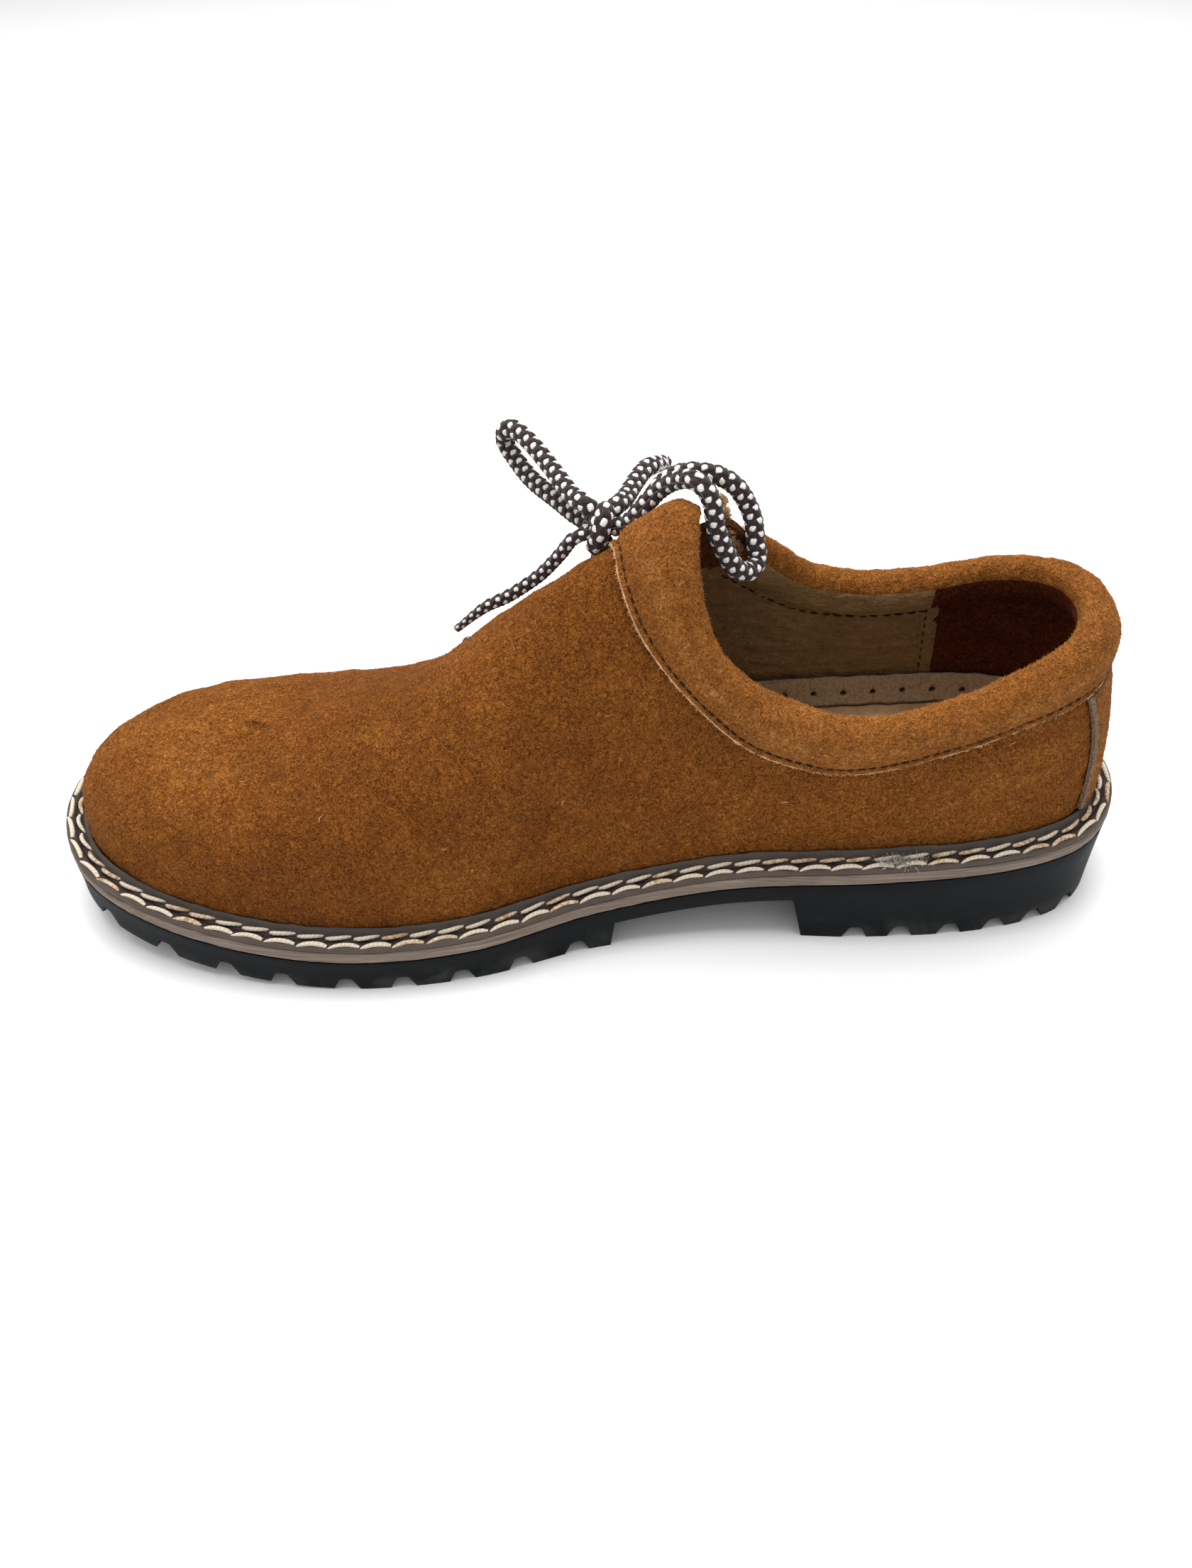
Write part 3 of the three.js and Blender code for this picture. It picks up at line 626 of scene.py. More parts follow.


# Lining leather: soft wrinkles that run along it, over a fine uneven grain, with painted shade darkening
# the wrinkles' hollows and the creases
def lining_look():
    look = Look("lining_leather", 0.55, Specular_IOR_Level=0.3)
    wrinkles = look.noise(0.3, 4.0, 0.62, 0.5, at=look.stretched(0.45, 1.0, 1.4))
    fold = look.noise(0.16, 3.0, 0.6, 0.8, at=look.stretched(0.7, 1.0, 1.3))
    creases = abs(fold - 0.5).step(0.0, 0.045)
    grain = look.noise(0.9, 4.0, 0.62, 0.3)
    broad = look.noise(0.03, 2.0)
    # Colour follows the wrinkles' height and darkens along the creases: painted shade in the hollows
    shade = wrinkles * 0.4 + creases * 0.04 + grain * 0.4 + broad * 0.25
    look.set(Base_Color=look.mix(shade.step(0.3, 0.95), rgb(108, 80, 49), rgb(166, 134, 90)))
    look.bump(wrinkles * 1.7 + creases * 0.12 + grain * 0.4, 1.0)
    return look


def rubber_look():
    look = Look("black_rubber", 0.55, Specular_IOR_Level=0.1)
    fine = look.noise(1.6, 4.0, 0.7)
    blotch = look.noise(0.06, 4.0, 0.6, 0.8)
    dust = look.noise(0.9, 6.0, 0.75).step(0.62, 0.8)
    low = look.parts(look.mm)[2].step(9.0, 2.0)
    colour = look.mix(blotch.step(0.35, 0.75), rgb(8, 12, 15), rgb(18, 23, 26))
    colour = look.mix(dust * 0.3 + low * blotch.step(0.4, 0.7) * 0.35, colour, rgb(78, 76, 72))
    look.set(Base_Color=colour, Roughness=0.45 + blotch * 0.25 + dust * 0.2)
    look.bump(fine * 0.12 + blotch * 0.3, 0.6)
    return look


# Taupe edge with a fine grain that runs along the sole
def taupe_look():
    look = Look("taupe_edge", 0.75, Specular_IOR_Level=0.25)
    grain = look.noise(0.5, 5.0, 0.65, 0.4, at=look.stretched(0.09, 0.09, 3.2))
    stains = look.noise(0.05, 4.0, 0.6, 0.5)
    colour = look.ramp(grain, [(0.3, rgb(92, 78, 68)), (0.5, rgb(124, 109, 97)),
                               (0.72, rgb(152, 138, 124))])
    look.set(Base_Color=look.mix(stains.step(0.5, 0.8) * 0.6, colour, rgb(74, 60, 48)))
    look.bump(grain * 0.5, 0.6)
    return look


# Welt: dark groove between the stitch rows, greyer rib and outer lip
def welt_look():
    look = Look("welt_strip", 0.62, Specular_IOR_Level=0.35)
    across = look.attribute("across")
    fine = look.noise(1.3, 4.0, 0.6)
    smear = look.noise(0.12, 4.0, 0.6, 0.6, at=look.stretched(0.6, 0.6, 1.0))
    rib = look.mix(smear, rgb(58, 50, 45), rgb(84, 76, 70))
    groove = look.mix(fine, rgb(30, 19, 17), rgb(52, 36, 33))
    lip = look.mix(smear, rgb(58, 48, 42), rgb(92, 80, 70))
    colour = look.mix(across.step(4.6, 5.3), groove, rib)
    look.set(Base_Color=look.mix(across.step(1.3, 0.7), colour, lip))
    look.bump(fine * 0.25 + smear * 0.35, 0.6)
    return look


# Twisted stitch thread, with stains on some stitches
def thread_look(name, pale, stain, dark):
    look = Look(name, 0.7, Specular_IOR_Level=0.25)
    u, v = look.uv()
    twist = (u * 5.2 + v * 6.28).sine() * 0.5 + 0.5
    stained = look.attribute("stain")
    spots = look.noise(0.9, 4.0, 0.65)
    colour = look.mix(stained * spots.step(0.38, 0.66), pale, stain)
    colour = look.mix((1.0 - twist) * 0.35 + spots.step(0.6, 0.8) * 0.15, colour, dark)
    look.set(Base_Color=colour)
    look.bump(twist * 0.14 + spots * 0.1, 0.8)
    return look


# Braided lace: cells round and along the cord, every second one a pale pick
PICK_LENGTH = 1.55
PICKS_ROUND = 6


def braid_look():
    look = Look("lace_braid", 0.8, Specular_IOR_Level=0.2, Sheen_Weight=0.15)
    u, v = look.uv()
    column = v * PICKS_ROUND
    row = u / PICK_LENGTH
    lean = (column.floor().parity() - 0.5) * 0.5
    across = column.fraction() - 0.5
    row = row + across * lean
    along = row.fraction() - 0.5
    even = (row.floor() + column.floor()).parity()
    oval = abs(along / 0.47) ** 4.0 + abs((across - along * (lean * 1.2)) / 0.335) ** 4.0
    pick = oval.step(1.1, 0.8) * even.step(0.6, 0.4)
    yarn = ((along + across * (lean * 3.0)) * 19.0).sine() * 0.5 + 0.5
    wear = look.noise(1.2, 4.0, 0.6)
    dark = look.mix(yarn * 0.6 + wear * 0.4, rgb(22, 14, 15), rgb(66, 48, 48))
    pale = look.mix(yarn * 0.25 + wear * 0.4, rgb(250, 250, 247), rgb(206, 206, 203))
    look.set(Base_Color=look.mix(pick, dark, pale))
    look.bump(oval.step(1.3, 0.2) * 0.35 + yarn * 0.12, 0.9)
    return look


suede = suede_look("suede_brown", rgb(70, 33, 8), rgb(102, 53, 13), rgb(148, 88, 32),
                   rgb(214, 144, 70), 0.06)
collar_suede = suede_look("suede_collar", rgb(86, 44, 13), rgb(122, 69, 24), rgb(166, 103, 42),
                          rgb(226, 164, 96), 0.08, 0.35)
dark_suede = suede_look("suede_heel_lining", rgb(30, 10, 5), rgb(62, 26, 14), rgb(100, 46, 24),
                        rgb(140, 76, 44), 0.1)
# Brown suede of the throat's facing and the tongue, painted darker for the shade inside the throat
throat_shaded_suede = suede_look("suede_facing_painted_shade", rgb(32, 14, 5), rgb(70, 38, 16), rgb(100, 58, 28),
                          rgb(140, 92, 52), 0.1)
suede_fibre = fibre_look("suede_fibre", rgb(92, 48, 13), rgb(196, 128, 60))
collar_fibre = fibre_look("collar_fibre", rgb(120, 68, 24), rgb(204, 138, 74))
raw_fibre = fibre_look("raw_fibre", rgb(176, 128, 82), rgb(238, 206, 166))
grey_fibre = fibre_look("grey_fibre", rgb(120, 112, 104), rgb(214, 208, 200))
lint_fibre = fibre_look("lint_fibre", rgb(200, 160, 120), rgb(244, 226, 204))
raw_edge = plain_leather("raw_leather_edge", rgb(222, 180, 136), rgb(172, 124, 82), 1.8, 0.5, 0.85)
frayed_edge = plain_leather("frayed_leather_edge", rgb(196, 160, 118), rgb(136, 102, 66), 1.6, 0.9, 0.9)
grey_edge = plain_leather("grey_cut_edge", rgb(134, 112, 90), rgb(84, 66, 50), 1.6, 0.6, 0.85)
lining = lining_look()
# In both footbed looks the last colour is painted shade, for the groove where the rim meets the flat
footbed = plain_leather("footbed_rim_leather", rgb(176, 150, 122), rgb(142, 118, 92), 1.1, 0.3, 0.6,
                        rgb(40, 28, 18))
footbed_flat = plain_leather("footbed_leather", rgb(190, 158, 116), rgb(164, 132, 94), 0.4, 0.12, 0.6,
                             rgb(40, 28, 18))
rubber = rubber_look()
taupe = taupe_look()
welt_strip = welt_look()
cream_thread = thread_look("thread_cream", rgb(222, 212, 190), rgb(176, 124, 70), rgb(150, 132, 104))
brown_thread = thread_look("thread_brown", rgb(44, 22, 14), rgb(30, 16, 10), rgb(20, 10, 8))
braid = braid_look()


# Plastic tips on the lace's ends
def tip_look(name, dark, pale):
    look = Look(name, 0.25, Specular_IOR_Level=0.5, Coat_Weight=0.6)
    streak = look.noise(0.8, 3.0, 0.5, 0.4)
    look.set(Base_Color=look.mix(streak.step(0.35, 0.65), dark, pale))
    return look


clear_tip = tip_look("lace_tip_clear", rgb(120, 116, 114), rgb(226, 226, 226))
dark_tip = tip_look("lace_tip_dark", rgb(34, 26, 26), rgb(96, 88, 86))


# Camera
def make_camera():
    e, a, r = [math.radians(v) for v in (CAMERA_ELEVATION, CAMERA_AZIMUTH, CAMERA_ROLL)]
    back = Vector((math.sin(a) * math.cos(e), -math.cos(a) * math.cos(e), math.sin(e)))
    right = (-back).cross(Vector((0, 0, 1))).normalized()
    up = right.cross(-back)
    camera = bpy.data.objects.new("camera", bpy.data.cameras.new("camera"))
    camera.data.sensor_width = 36
    camera.data.lens = 36 * FOCAL_PIXELS / PHOTO_HEIGHT
    camera.data.clip_start = 0.01
    rolled_right = right * math.cos(r) + up * math.sin(r)
    rolled_up = up * math.cos(r) - right * math.sin(r)
    turned = Matrix((rolled_right, rolled_up, back)).transposed().to_4x4()
    place = (Vector(CAMERA_TARGET) + back * CAMERA_DISTANCE) * MM
    camera.matrix_world = Matrix.Translation(place) @ turned
    bpy.context.scene.collection.objects.link(camera)
    bpy.context.scene.camera = camera


# Braided cord along a route in metres, with its coordinates and its centre line
BRAID_SIDES = 32
BRAID_STEP = 0.36
BRAID_RADIUS = CORD / 2 - 0.22


def braid_tube(route, radius=BRAID_RADIUS, end_radius=None, taper=8.0):
    line = smooth_line(np.asarray(route) / MM, BRAID_STEP)
    along = np.arange(len(line)) * line_length(line) / (len(line) - 1)
    length = along[-1]
    radius = np.full(len(line), radius)
    if end_radius is not None:
        radius = lerp(radius, end_radius, smoothstep(along, length - taper, length))
    angle = np.linspace(0, 1, BRAID_SIDES, endpoint=False)
    column = angle * PICKS_ROUND
    across = column % 1 - 0.5
    lean = (np.floor(column) % 2 - 0.5) * 0.5
    row = along[:, None] / PICK_LENGTH + (across * lean)[None]
    bulge = np.clip(1 - (2 * (row % 1 - 0.5)) ** 2 - (2 * across[None]) ** 2, 0, 1) ** 0.5
    relief = (bulge * 0.34 - 0.1) * (radius / BRAID_RADIUS)[:, None]
    points = tube_points(line, radius, BRAID_SIDES, relief)
    uv = np.stack(np.broadcast_arrays(along[:, None], angle[None]), -1)
    return points, uv, line


def cord_piece(name, route, node, far_end, with_pieces=(), **shape):
    points, uv, line = braid_tube(route, **shape)
    piece = join_tubes(name, [points], [braid.material], [uv])
    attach(piece, "root")
    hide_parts(node)
    path = (line * MM).tolist()


# Several lengths of lace, joined in one piece
def joined_lace(name, routes, node, **shape):
    tubes = [braid_tube(route, **shape) for route in routes]
    piece = join_tubes(name, [t[0] for t in tubes], [braid.material], [t[1] for t in tubes])
    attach(piece, "root")
    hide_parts(node)
    return piece


# Knot: the lace wraps round the bow's crossing and is drawn tight. Each wrap has its reach across
# and up, its lean, its first angle and its sweep.
WRAPS = ((3.3, 4.6, 2.4, -70, 400), (2.6, 3.2, -3.4, 110, 330))
WRAP_POINTS = 26
KNOT_CORE = np.array([(0.6, 12, 106.4), (4.4, 11.4, 105), (8.4, 11.2, 104.6)]) * MM


def knot_piece():
    routes = []
    for reach_y, reach_z, lean, start, sweep in WRAPS:
        angle = np.radians(np.linspace(start, start + sweep, WRAP_POINTS))
        share = np.linspace(-0.5, 0.5, WRAP_POINTS)
        x = KNOT[0] + 0.6 + lean * share + 0.8 * np.sin(angle)
        y = KNOT[1] - 0.4 - reach_y * np.cos(angle)
        z = KNOT[2] - 0.3 + reach_z * np.sin(angle)
        routes.append(np.column_stack([x, y, z]) * MM)
    return joined_lace("lace_knot_wraps", [*routes, KNOT_CORE], "lace_knot")


def lace_tip_piece(name, line, radius, length, look):
    ends = np.array([line[-1] - unit(line[-1] - line[-2]) * length, line[-1]])
    rail = smooth_line(ends, 0.6)
    share = np.linspace(0, 1, len(rail))
    ridges = 0.08 * np.sin(share * 40)[:, None]
    shape = radius * (1 - 0.12 * share) * np.where(share > 0.93, 0.86, 1)
    piece = join_tubes(name, [tube_points(rail, shape, 24, ridges)], [look.material])
    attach(piece, "root")
    return piece


def bow():
    knot = knot_piece()
    cord_piece("lace_bow_loop_front", LOOP_FRONT, "lace_loop_front", "knot", with_pieces=[knot])
    cord_piece("lace_bow_loop_back", LOOP_BACK, "lace_loop_back", "knot")
    front_tip = lace_tip_piece("lace_tip_front", END_FRONT[-2:] / MM, 1.15, 4.5, dark_tip)
    cord_piece("lace_free_end_front", END_FRONT, "lace_end_front", "fitting", with_pieces=[front_tip],
               radius=1.65, end_radius=1.0, taper=18)
    back_line = smooth_line(END_BACK / MM, BRAID_STEP)
    tip = lace_tip_piece("lace_tip_back", back_line, 2.3, 6.5, clear_tip)
    cord_piece("lace_free_end_back", END_BACK, "lace_end_back", "fitting", with_pieces=[tip],
               end_radius=2.1, taper=8)


# The crossings over the side throat. They start beside the holes near the crest, sunk in the suede,
# rise over the throat and go down through the holes on its other side.
CROSSING_RADIUS = 1.85
SUNK, RISEN, FAR_DROP, END_DEPTH = -2.0, 1.4, 1.2, -3.2
NEAR_SHIFT, NEAR_SHIFT_STEP = 0.04, 0.015
RISE_TO_KNOT = np.array([(4.4, 16, 95), (4.4, 12.6, 101.5)]) * MM


def lace_crossings():
    def over(near, far):
        t = np.linspace(0, 1, 9)
        lift = lerp(SUNK, RISEN, smoothstep(t, 0.05, 0.7)) - FAR_DROP * smoothstep(t, 0.85, 1)
        top = skin(lerp(near[0], far[0], t), lerp(near[1], far[1], t), lift)
        down = [skin(*place, END_DEPTH) for place in (near, far)]
        return np.vstack([down[0], top, down[1]]) * MM

    near = [(turn, climb - NEAR_SHIFT - NEAR_SHIFT_STEP * k) for k, (turn, climb, _) in enumerate(HOLES)]
    far = [(turn, climb) for turn, _, climb in HOLES]
    to_knot = np.vstack([over(KNOT_REACH, far[0])[:3:-1], RISE_TO_KNOT])
    routes = [over(near[2], far[2]), to_knot]
    for k in (0, 1):
        routes += [over(near[k], far[k + 1]), over(near[k + 1], far[k])]
    joined_lace("lace_crossings", routes, "lace_bars", radius=CROSSING_RADIUS)


# Climb of the upper's edge on one side (-1 medial, 1 lateral), from the collar and the throat
UPPER_EDGE = np.column_stack([
    lerp(COLLAR[:, 0], COLLAR[:, 2], UPPER_EDGE_DOWN), lerp(COLLAR[:, 1], COLLAR[:, 3], UPPER_EDGE_DOWN),
])


def edge_climb(turn, side):
    collar_end = -UPPER_EDGE[0, 0] if side < 0 else UPPER_EDGE[-1, 0]
    column = 1 if side < 0 else 2
    throat_end = THROAT[-1, 0]
    vamp = lerp(THROAT[-1, column], 1.0, smoothstep(turn, throat_end, 180))
    throat = reading(THROAT, column, turn)
    collar = reading(UPPER_EDGE, 1, side * turn)
    return np.where(turn <= collar_end, collar, np.where(turn <= throat_end, throat, vamp))


# Dents and creases of the suede: turn, climb, reach along and up in millimetres, depth
DENTS = [
    (-104, 1.08, 6, 9, 0.6), (-102, 0.86, 5, 10, 0.7), (-100, 0.69, 5, 10, 0.7),
    (-98, 0.53, 5, 10, 0.6), (-97, 0.41, 5, 10, 0.4), (-107, 0.8, 7, 16, -0.8),
    (-95, 0.6, 7, 18, -0.6), (-112, 0.98, 9, 6, -1.0), (-106, 1.0, 8, 7, -0.7),
    (-120, 0.6, 18, 9, -0.5), (-127, 0.5, 14, 8, 0.4), (-88, 0.35, 18, 14, -0.4),
    (-60, 0.12, 22, 8, 0.4), (104, 0.7, 12, 14, -0.6), (112, 0.5, 14, 12, 0.5),
    (118, 0.85, 18, 9, -0.7), (60, 0.15, 22, 8, 0.4),
]
# Lighter and darker patches of the suede: turn, climb, reach along and up in millimetres, how much. Most
# are rubbed nap; the big lighter patch on the toe's top and the two big darker patches are painted
# highlight and painted shade
RUB_AND_LIGHT_SPOTS = [
    (-103, 0.95, 3, 12, 0.4), (-100, 0.69, 3, 13, 0.5), (-98, 0.5, 3, 12, 0.4),
    (-111.5, 0.8, 6, 2, 0.5), (-128, 0.42, 7, 4, 0.4), (-134, 0.5, 3, 6, 0.25),
    (-124, 0.6, 5, 4, 0.25), (-116, 0.84, 4, 2, 0.3), (104, 0.6, 5, 10, 0.4),
    # Turn 167: painted highlight on the toe's top; turn -110.5: painted shade
    (128, 0.5, 7, 4, 0.3), (167, 0.83, 16, 10, 0.8), (-110.5, 0.76, 26, 14, -0.6),
    # Turn -132.6: painted shade on the near side of the toe
    (-132.6, 0.42, 24, 9, -0.6), (-40, 0.18, 14, 9, 0.6), (-156, 0.65, 9, 12, 0.3),
]


def spots(points, table):
    total = np.zeros(points.shape[:-1])
    for at_turn, at_climb, reach_along, reach_up, amount in table:
        away = points - last(at_turn, at_climb)
        flat = np.hypot(away[..., 0], 0.4 * away[..., 1])
        total += amount * np.exp(-(flat / reach_along) ** 2 - (away[..., 2] / reach_up) ** 2)
    return total


def relief(points, climb):
    soft = 0.35 * ripple(points, 34, 3, 8) + 0.2 * ripple(points, 11, 5, 10)
    return (soft + spots(points, DENTS)) * smoothstep(climb, 0.0, 0.08)


# Shell of the upper between two distances from the last
SHELL_TURNS = np.unique(np.r_[np.linspace(0, 180, 241), np.linspace(72, 84, 25), THROAT[-1, 0]])
DEEPEST_DENT = 0.8


def shell(name, columns, out, inner, materials, textured=True, inside_group=None):
    throat_end = THROAT[-1, 0]
    signed = np.r_[-SHELL_TURNS[::-1], SHELL_TURNS[1:]]
    top = np.where(signed < 0, edge_climb(np.abs(signed), -1), edge_climb(np.abs(signed), 1))
    turn = np.broadcast_to(signed[:, None], (len(signed), columns))
    climb = top[:, None] * np.linspace(0, 1, columns)[None]
    base, within = skin(turn, climb, out), skin(turn, climb, inner)
    if textured:
        bumps = relief(base, climb) + 0.12 * ripple(base, 2.6, 11, 16)
        bumps = np.where(bumps < 0, DEEPEST_DENT * np.tanh(bumps / DEEPEST_DENT), bumps)
        base = base + outward(turn, climb) * bumps[..., None]
    else:
        folds = 0.35 * ripple(within, 9, 12, 12) + 0.25 * ripple(within * (0.4, 1, 1.6), 4, 13, 14)
        within = within - outward(turn, climb) * np.abs(folds)[..., None]
    rows = len(signed)
    count = rows * columns
    faces, groups = [], []
    for start, flip in ((0, False), (count, True)):
        new = grid_faces(rows, columns, start=start)
        faces += [f[::-1] for f in new] if flip else new
        if flip and inside_group:
            groups += [inside_group(turn.flat[f[0] - start], climb.flat[f[0] - start]) for f in new]
        else:
            groups += [0] * len(new)
    for r in range(rows - 1):
        a, b = r * columns, (r + 1) * columns
        faces.append((a, b, b + count, a + count))
        groups.append(1)
        if max(abs(signed[r]), abs(signed[r + 1])) <= throat_end + 1e-6:
            c, d = a + columns - 1, b + columns - 1
            faces.append((c, d, d + count, c + count))
            groups.append(1)
    points = np.concatenate([base.reshape(-1, 3), within.reshape(-1, 3)])
    piece = make_mesh(name, points, faces, materials, weld=0.01, sharp=35, groups=groups)
    if textured:
        # Mark of rubbed nap, painted highlights and painted shade, from the spot table
        at = np.zeros(len(piece.data.vertices) * 3)
        piece.data.vertices.foreach_get("co", at)
        mark(piece, "rub_and_light", spots(at.reshape(-1, 3) / MM, RUB_AND_LIGHT_SPOTS))
    return piece, base, signed


def apply_modifier(piece, kind, **settings):
    modifier = piece.modifiers.new(kind.lower(), kind)
    for key, value in settings.items():
        setattr(modifier, key, value)
    bpy.context.view_layer.objects.active = piece
    bpy.ops.object.modifier_apply(modifier=modifier.name)


def bore(piece, cutters):
    for cutter in cutters:
        apply_modifier(piece, "BOOLEAN", operation="DIFFERENCE", object=cutter, solver="EXACT")
    for cutter in cutters:
        bpy.data.objects.remove(cutter)


def lace_hole_cutter():
    tubes = []
    for turn, near, far in HOLES:
        for climb in (near, far):
            rail = np.vstack([skin(turn, climb, d) for d in (4.0, 0.0, -6.0)])
            tubes.append(tube_points(rail, LACE_HOLE / 2, 20))
    return join_tubes("lace_hole_cutter", tubes, [])


# Lining by place: leather, dark suede round the heel, brown suede facing at the throat, painted darker
# for the shade there
HEEL_SEAM = 48.5
FACING_FROM = 75.3
# Thickness of the suede, and where the lining starts under it
SUEDE_THICKNESS, LINING_DEPTH = 1.3, 1.35
# Fibres of the nap in each part
MEDIAL_NAP, LATERAL_NAP, COLLAR_NAP, BACKSTAY_NAP = 30000, 24000, 24000, 2400


def lining_group(turn, climb):
    if abs(turn) < HEEL_SEAM:
        return 2
    return 3 if abs(turn) > FACING_FROM and climb > 0.5 - 0.02 * (abs(turn) - 76) else 0


def upper():
    rim = grey_edge.material
    outer, base, signed = shell("upper_suede", 50, 0.0, -SUEDE_THICKNESS, [suede.material, rim])
    inner, _, _ = shell(
        "upper_lining", 40, -LINING_DEPTH, -WALL,
        [lining.material, rim, dark_suede.material, throat_shaded_suede.material],
        textured=False, inside_group=lining_group)
    for piece, slot in ((outer, "suede"), (inner, "footbed_leather")):
        bore(piece, [lace_hole_cutter()])
        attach(piece, "root")
        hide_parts("upper")
    half = len(signed) // 2
    nap("suede_nap_medial", base[:half + 1, 1:], MEDIAL_NAP, suede_fibre)
    nap("suede_nap_lateral", base[half:, 1:], LATERAL_NAP, suede_fibre)


# Faces of one fibre, and how it bends and starts
BENT_FIBRE = [(0, 1, 4, 3), (1, 2, 5, 4), (2, 0, 3, 5), (3, 4, 6), (4, 5, 6), (5, 3, 6), (2, 1, 0)]
FIBRE = [(0, 1, 3), (1, 2, 3), (2, 0, 3), (2, 1, 0)]
FIBRE_CURL, FIBRE_SUNK = 2.2, 0.12


# Loose fibres that start a little under the surface: bent spikes, or straight ones in the nap
def fibres(name, roots, normals, look, length=(0.55, 1.35), thick=(0.06, 0.11), lift=(0.1, 0.6),
           flow=None, bent=True):
    count = len(roots)
    free = chance.normal(size=(count, 3))
    if flow is not None:
        free = free * 0.55 + flow
    along = unit(free - normals * (free * normals).sum(-1, keepdims=True))
    reach = chance.uniform(*length, count)[:, None]
    rise = chance.uniform(*lift, count)[:, None]
    radius = chance.uniform(*thick, count)[:, None]
    bend = chance.uniform(-FIBRE_CURL, FIBRE_CURL, count)[:, None]
    aside = np.cross(normals, along)
    turned = unit(along * np.cos(bend) + aside * np.sin(bend))
    start = roots - normals * FIBRE_SUNK
    middle = roots + normals * rise * 0.7 + along * reach * 0.5
    tip = middle + normals * rise * 0.3 * np.cos(2 * bend) + turned * reach * 0.5
    across = unit(np.cross(along, normals))
    over = np.cross(across, along)
    rings, shape = (((start, 1.0), (middle, 0.75)), BENT_FIBRE) if bent else (((start, 1.0),), FIBRE)
    corners = [centre + radius * share * (across * c + over * s)
               for centre, share in rings for c, s in ((1, 0), (-0.5, 0.87), (-0.5, -0.87))]
    corners.append(tip)
    points = np.stack(corners, 1).reshape(-1, 3)
    size = len(corners)
    faces = [tuple(size * k + v for v in face) for k in range(count) for face in shape]
    piece = make_mesh(name, points, faces, [look.material], sharp=180)
    mark(piece, "shade", np.repeat(chance.random(count), size))
    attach(piece, "root")


# Evenly strewn places on a grid of points, with the normals there
def strewn(grid, count):
    a, b, c, d = grid[:-1, :-1], grid[1:, :-1], grid[1:, 1:], grid[:-1, 1:]
    normal = np.cross(c - a, d - b)
    area = np.linalg.norm(normal, axis=-1)
    cell = chance.choice(area.size, count, p=(area / area.sum()).ravel())
    u, v = chance.random((2, count, 1))
    a, b, c, d = [corner.reshape(-1, 3)[cell] for corner in (a, b, c, d)]
    at = a * (1 - u) * (1 - v) + b * u * (1 - v) + c * u * v + d * (1 - u) * v
    return at, unit(normal.reshape(-1, 3)[cell])


def nap(name, grid, count, look):
    roots, normals = strewn(grid, count)
    centre = grid.mean(axis=(0, 1))
    if ((roots - centre) * normals).sum() < 0:
        normals = -normals
    fibres(name, roots, normals, look, bent=False, lift=(0.15, 0.8))


# Rows of the collar's table at even places along it
def collar_rows(count):
    numbered = np.column_stack([np.arange(len(COLLAR)), COLLAR])
    at = np.linspace(0, len(COLLAR) - 1, count)
    return np.column_stack([reading(numbered, c, at) for c in (1, 2, 3, 4)])


def collar_skin(rows, down, out):
    turn = lerp(rows[..., 0], rows[..., 2], down)
    climb = lerp(rows[..., 1], rows[..., 3], down)
    return skin(turn, climb, out)


LINING_STRIP_FROM = 0.2
# Turn where the collar's lining changes to the heel's dark suede
STRIP_SEAM = HEEL_SEAM + 0.6
# The peak's lip curls back over the opening, and the near roll lies a little lower
LIP_CURL = 4.6
NEAR_ROLL_DROP = 1.1
# Stitch row through the collar: how far down its band
STITCH_ROW = 0.91


def collar():
    rows = collar_rows(420)
    face = smooth_line(ROLL_FACE * (20, 1), 1.0) / (20, 1)
    back = halved(ROLL_BACK)
    profile = np.vstack([face, back])
    grid = collar_skin(rows[:, None, :], profile[None, :, 0], profile[None, :, 1])
    outside = face[:, 1] > -1.5
    soft = np.r_[np.where(outside, smoothstep(face[:, 0], 0.98, 0.8), 1), np.zeros(len(back))]
    at = np.linspace(0, len(COLLAR) - 1, len(rows))
    lip = smoothstep(at, 3.4, 0.4)[:, None] * smoothstep(profile[:, 0], 0.9, 0.2)
    lip = lip * np.where(profile[:, 1] < -3, 0.35, 1)
    grid[..., 0] += LIP_CURL * lip
    low = smoothstep(rows[:, 0], -74, -66) * smoothstep(rows[:, 0], -24, -40)
    grid[..., 2] -= NEAR_ROLL_DROP * low[:, None] * smoothstep(profile[:, 0], 0.7, 0.15)
    puffs = (0.3 * ripple(grid, 26, 21, 8) + 0.15 * ripple(grid, 8, 22, 10)
             + 0.1 * ripple(grid, 2.4, 23, 16))
    centre = grid.mean(axis=1, keepdims=True)
    grid = grid + unit(grid - centre) * (puffs * soft[None])[..., None]
    count, columns = grid.shape[:2]
    lined = (face[:, 1] < -3) & (face[:, 0] > LINING_STRIP_FROM)
    lined = np.r_[lined, np.zeros(len(back), bool)]
    heel = np.abs(rows[:, 0]) < STRIP_SEAM
    groups = [(3 if heel[r] else 2) if lined[c] else 0 for r in range(count - 1) for c in range(columns)]
    groups += [1, 1]
    materials = [collar_suede.material, raw_edge.material, lining.material, dark_suede.material]
    piece = make_mesh("collar_roll", grid, tube_faces(count, columns), materials, sharp=50,
                      groups=groups)
    # Lighter band along the outside of the roll's bend: rubbed nap and a painted highlight
    rub_and_light_amount = np.where(outside, np.exp(-((face[:, 0] - 0.55) / 0.13) ** 2), 0)
    mark(piece, "rub_and_light", np.tile(np.r_[rub_and_light_amount, np.zeros(len(back))], count))
    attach(piece, "root")
    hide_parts("collar")
    covered = np.flatnonzero(~lined[:len(face)])
    nap("collar_nap", grid[:, covered[0] + 1:covered[-1] - 1], COLLAR_NAP, collar_fibre)


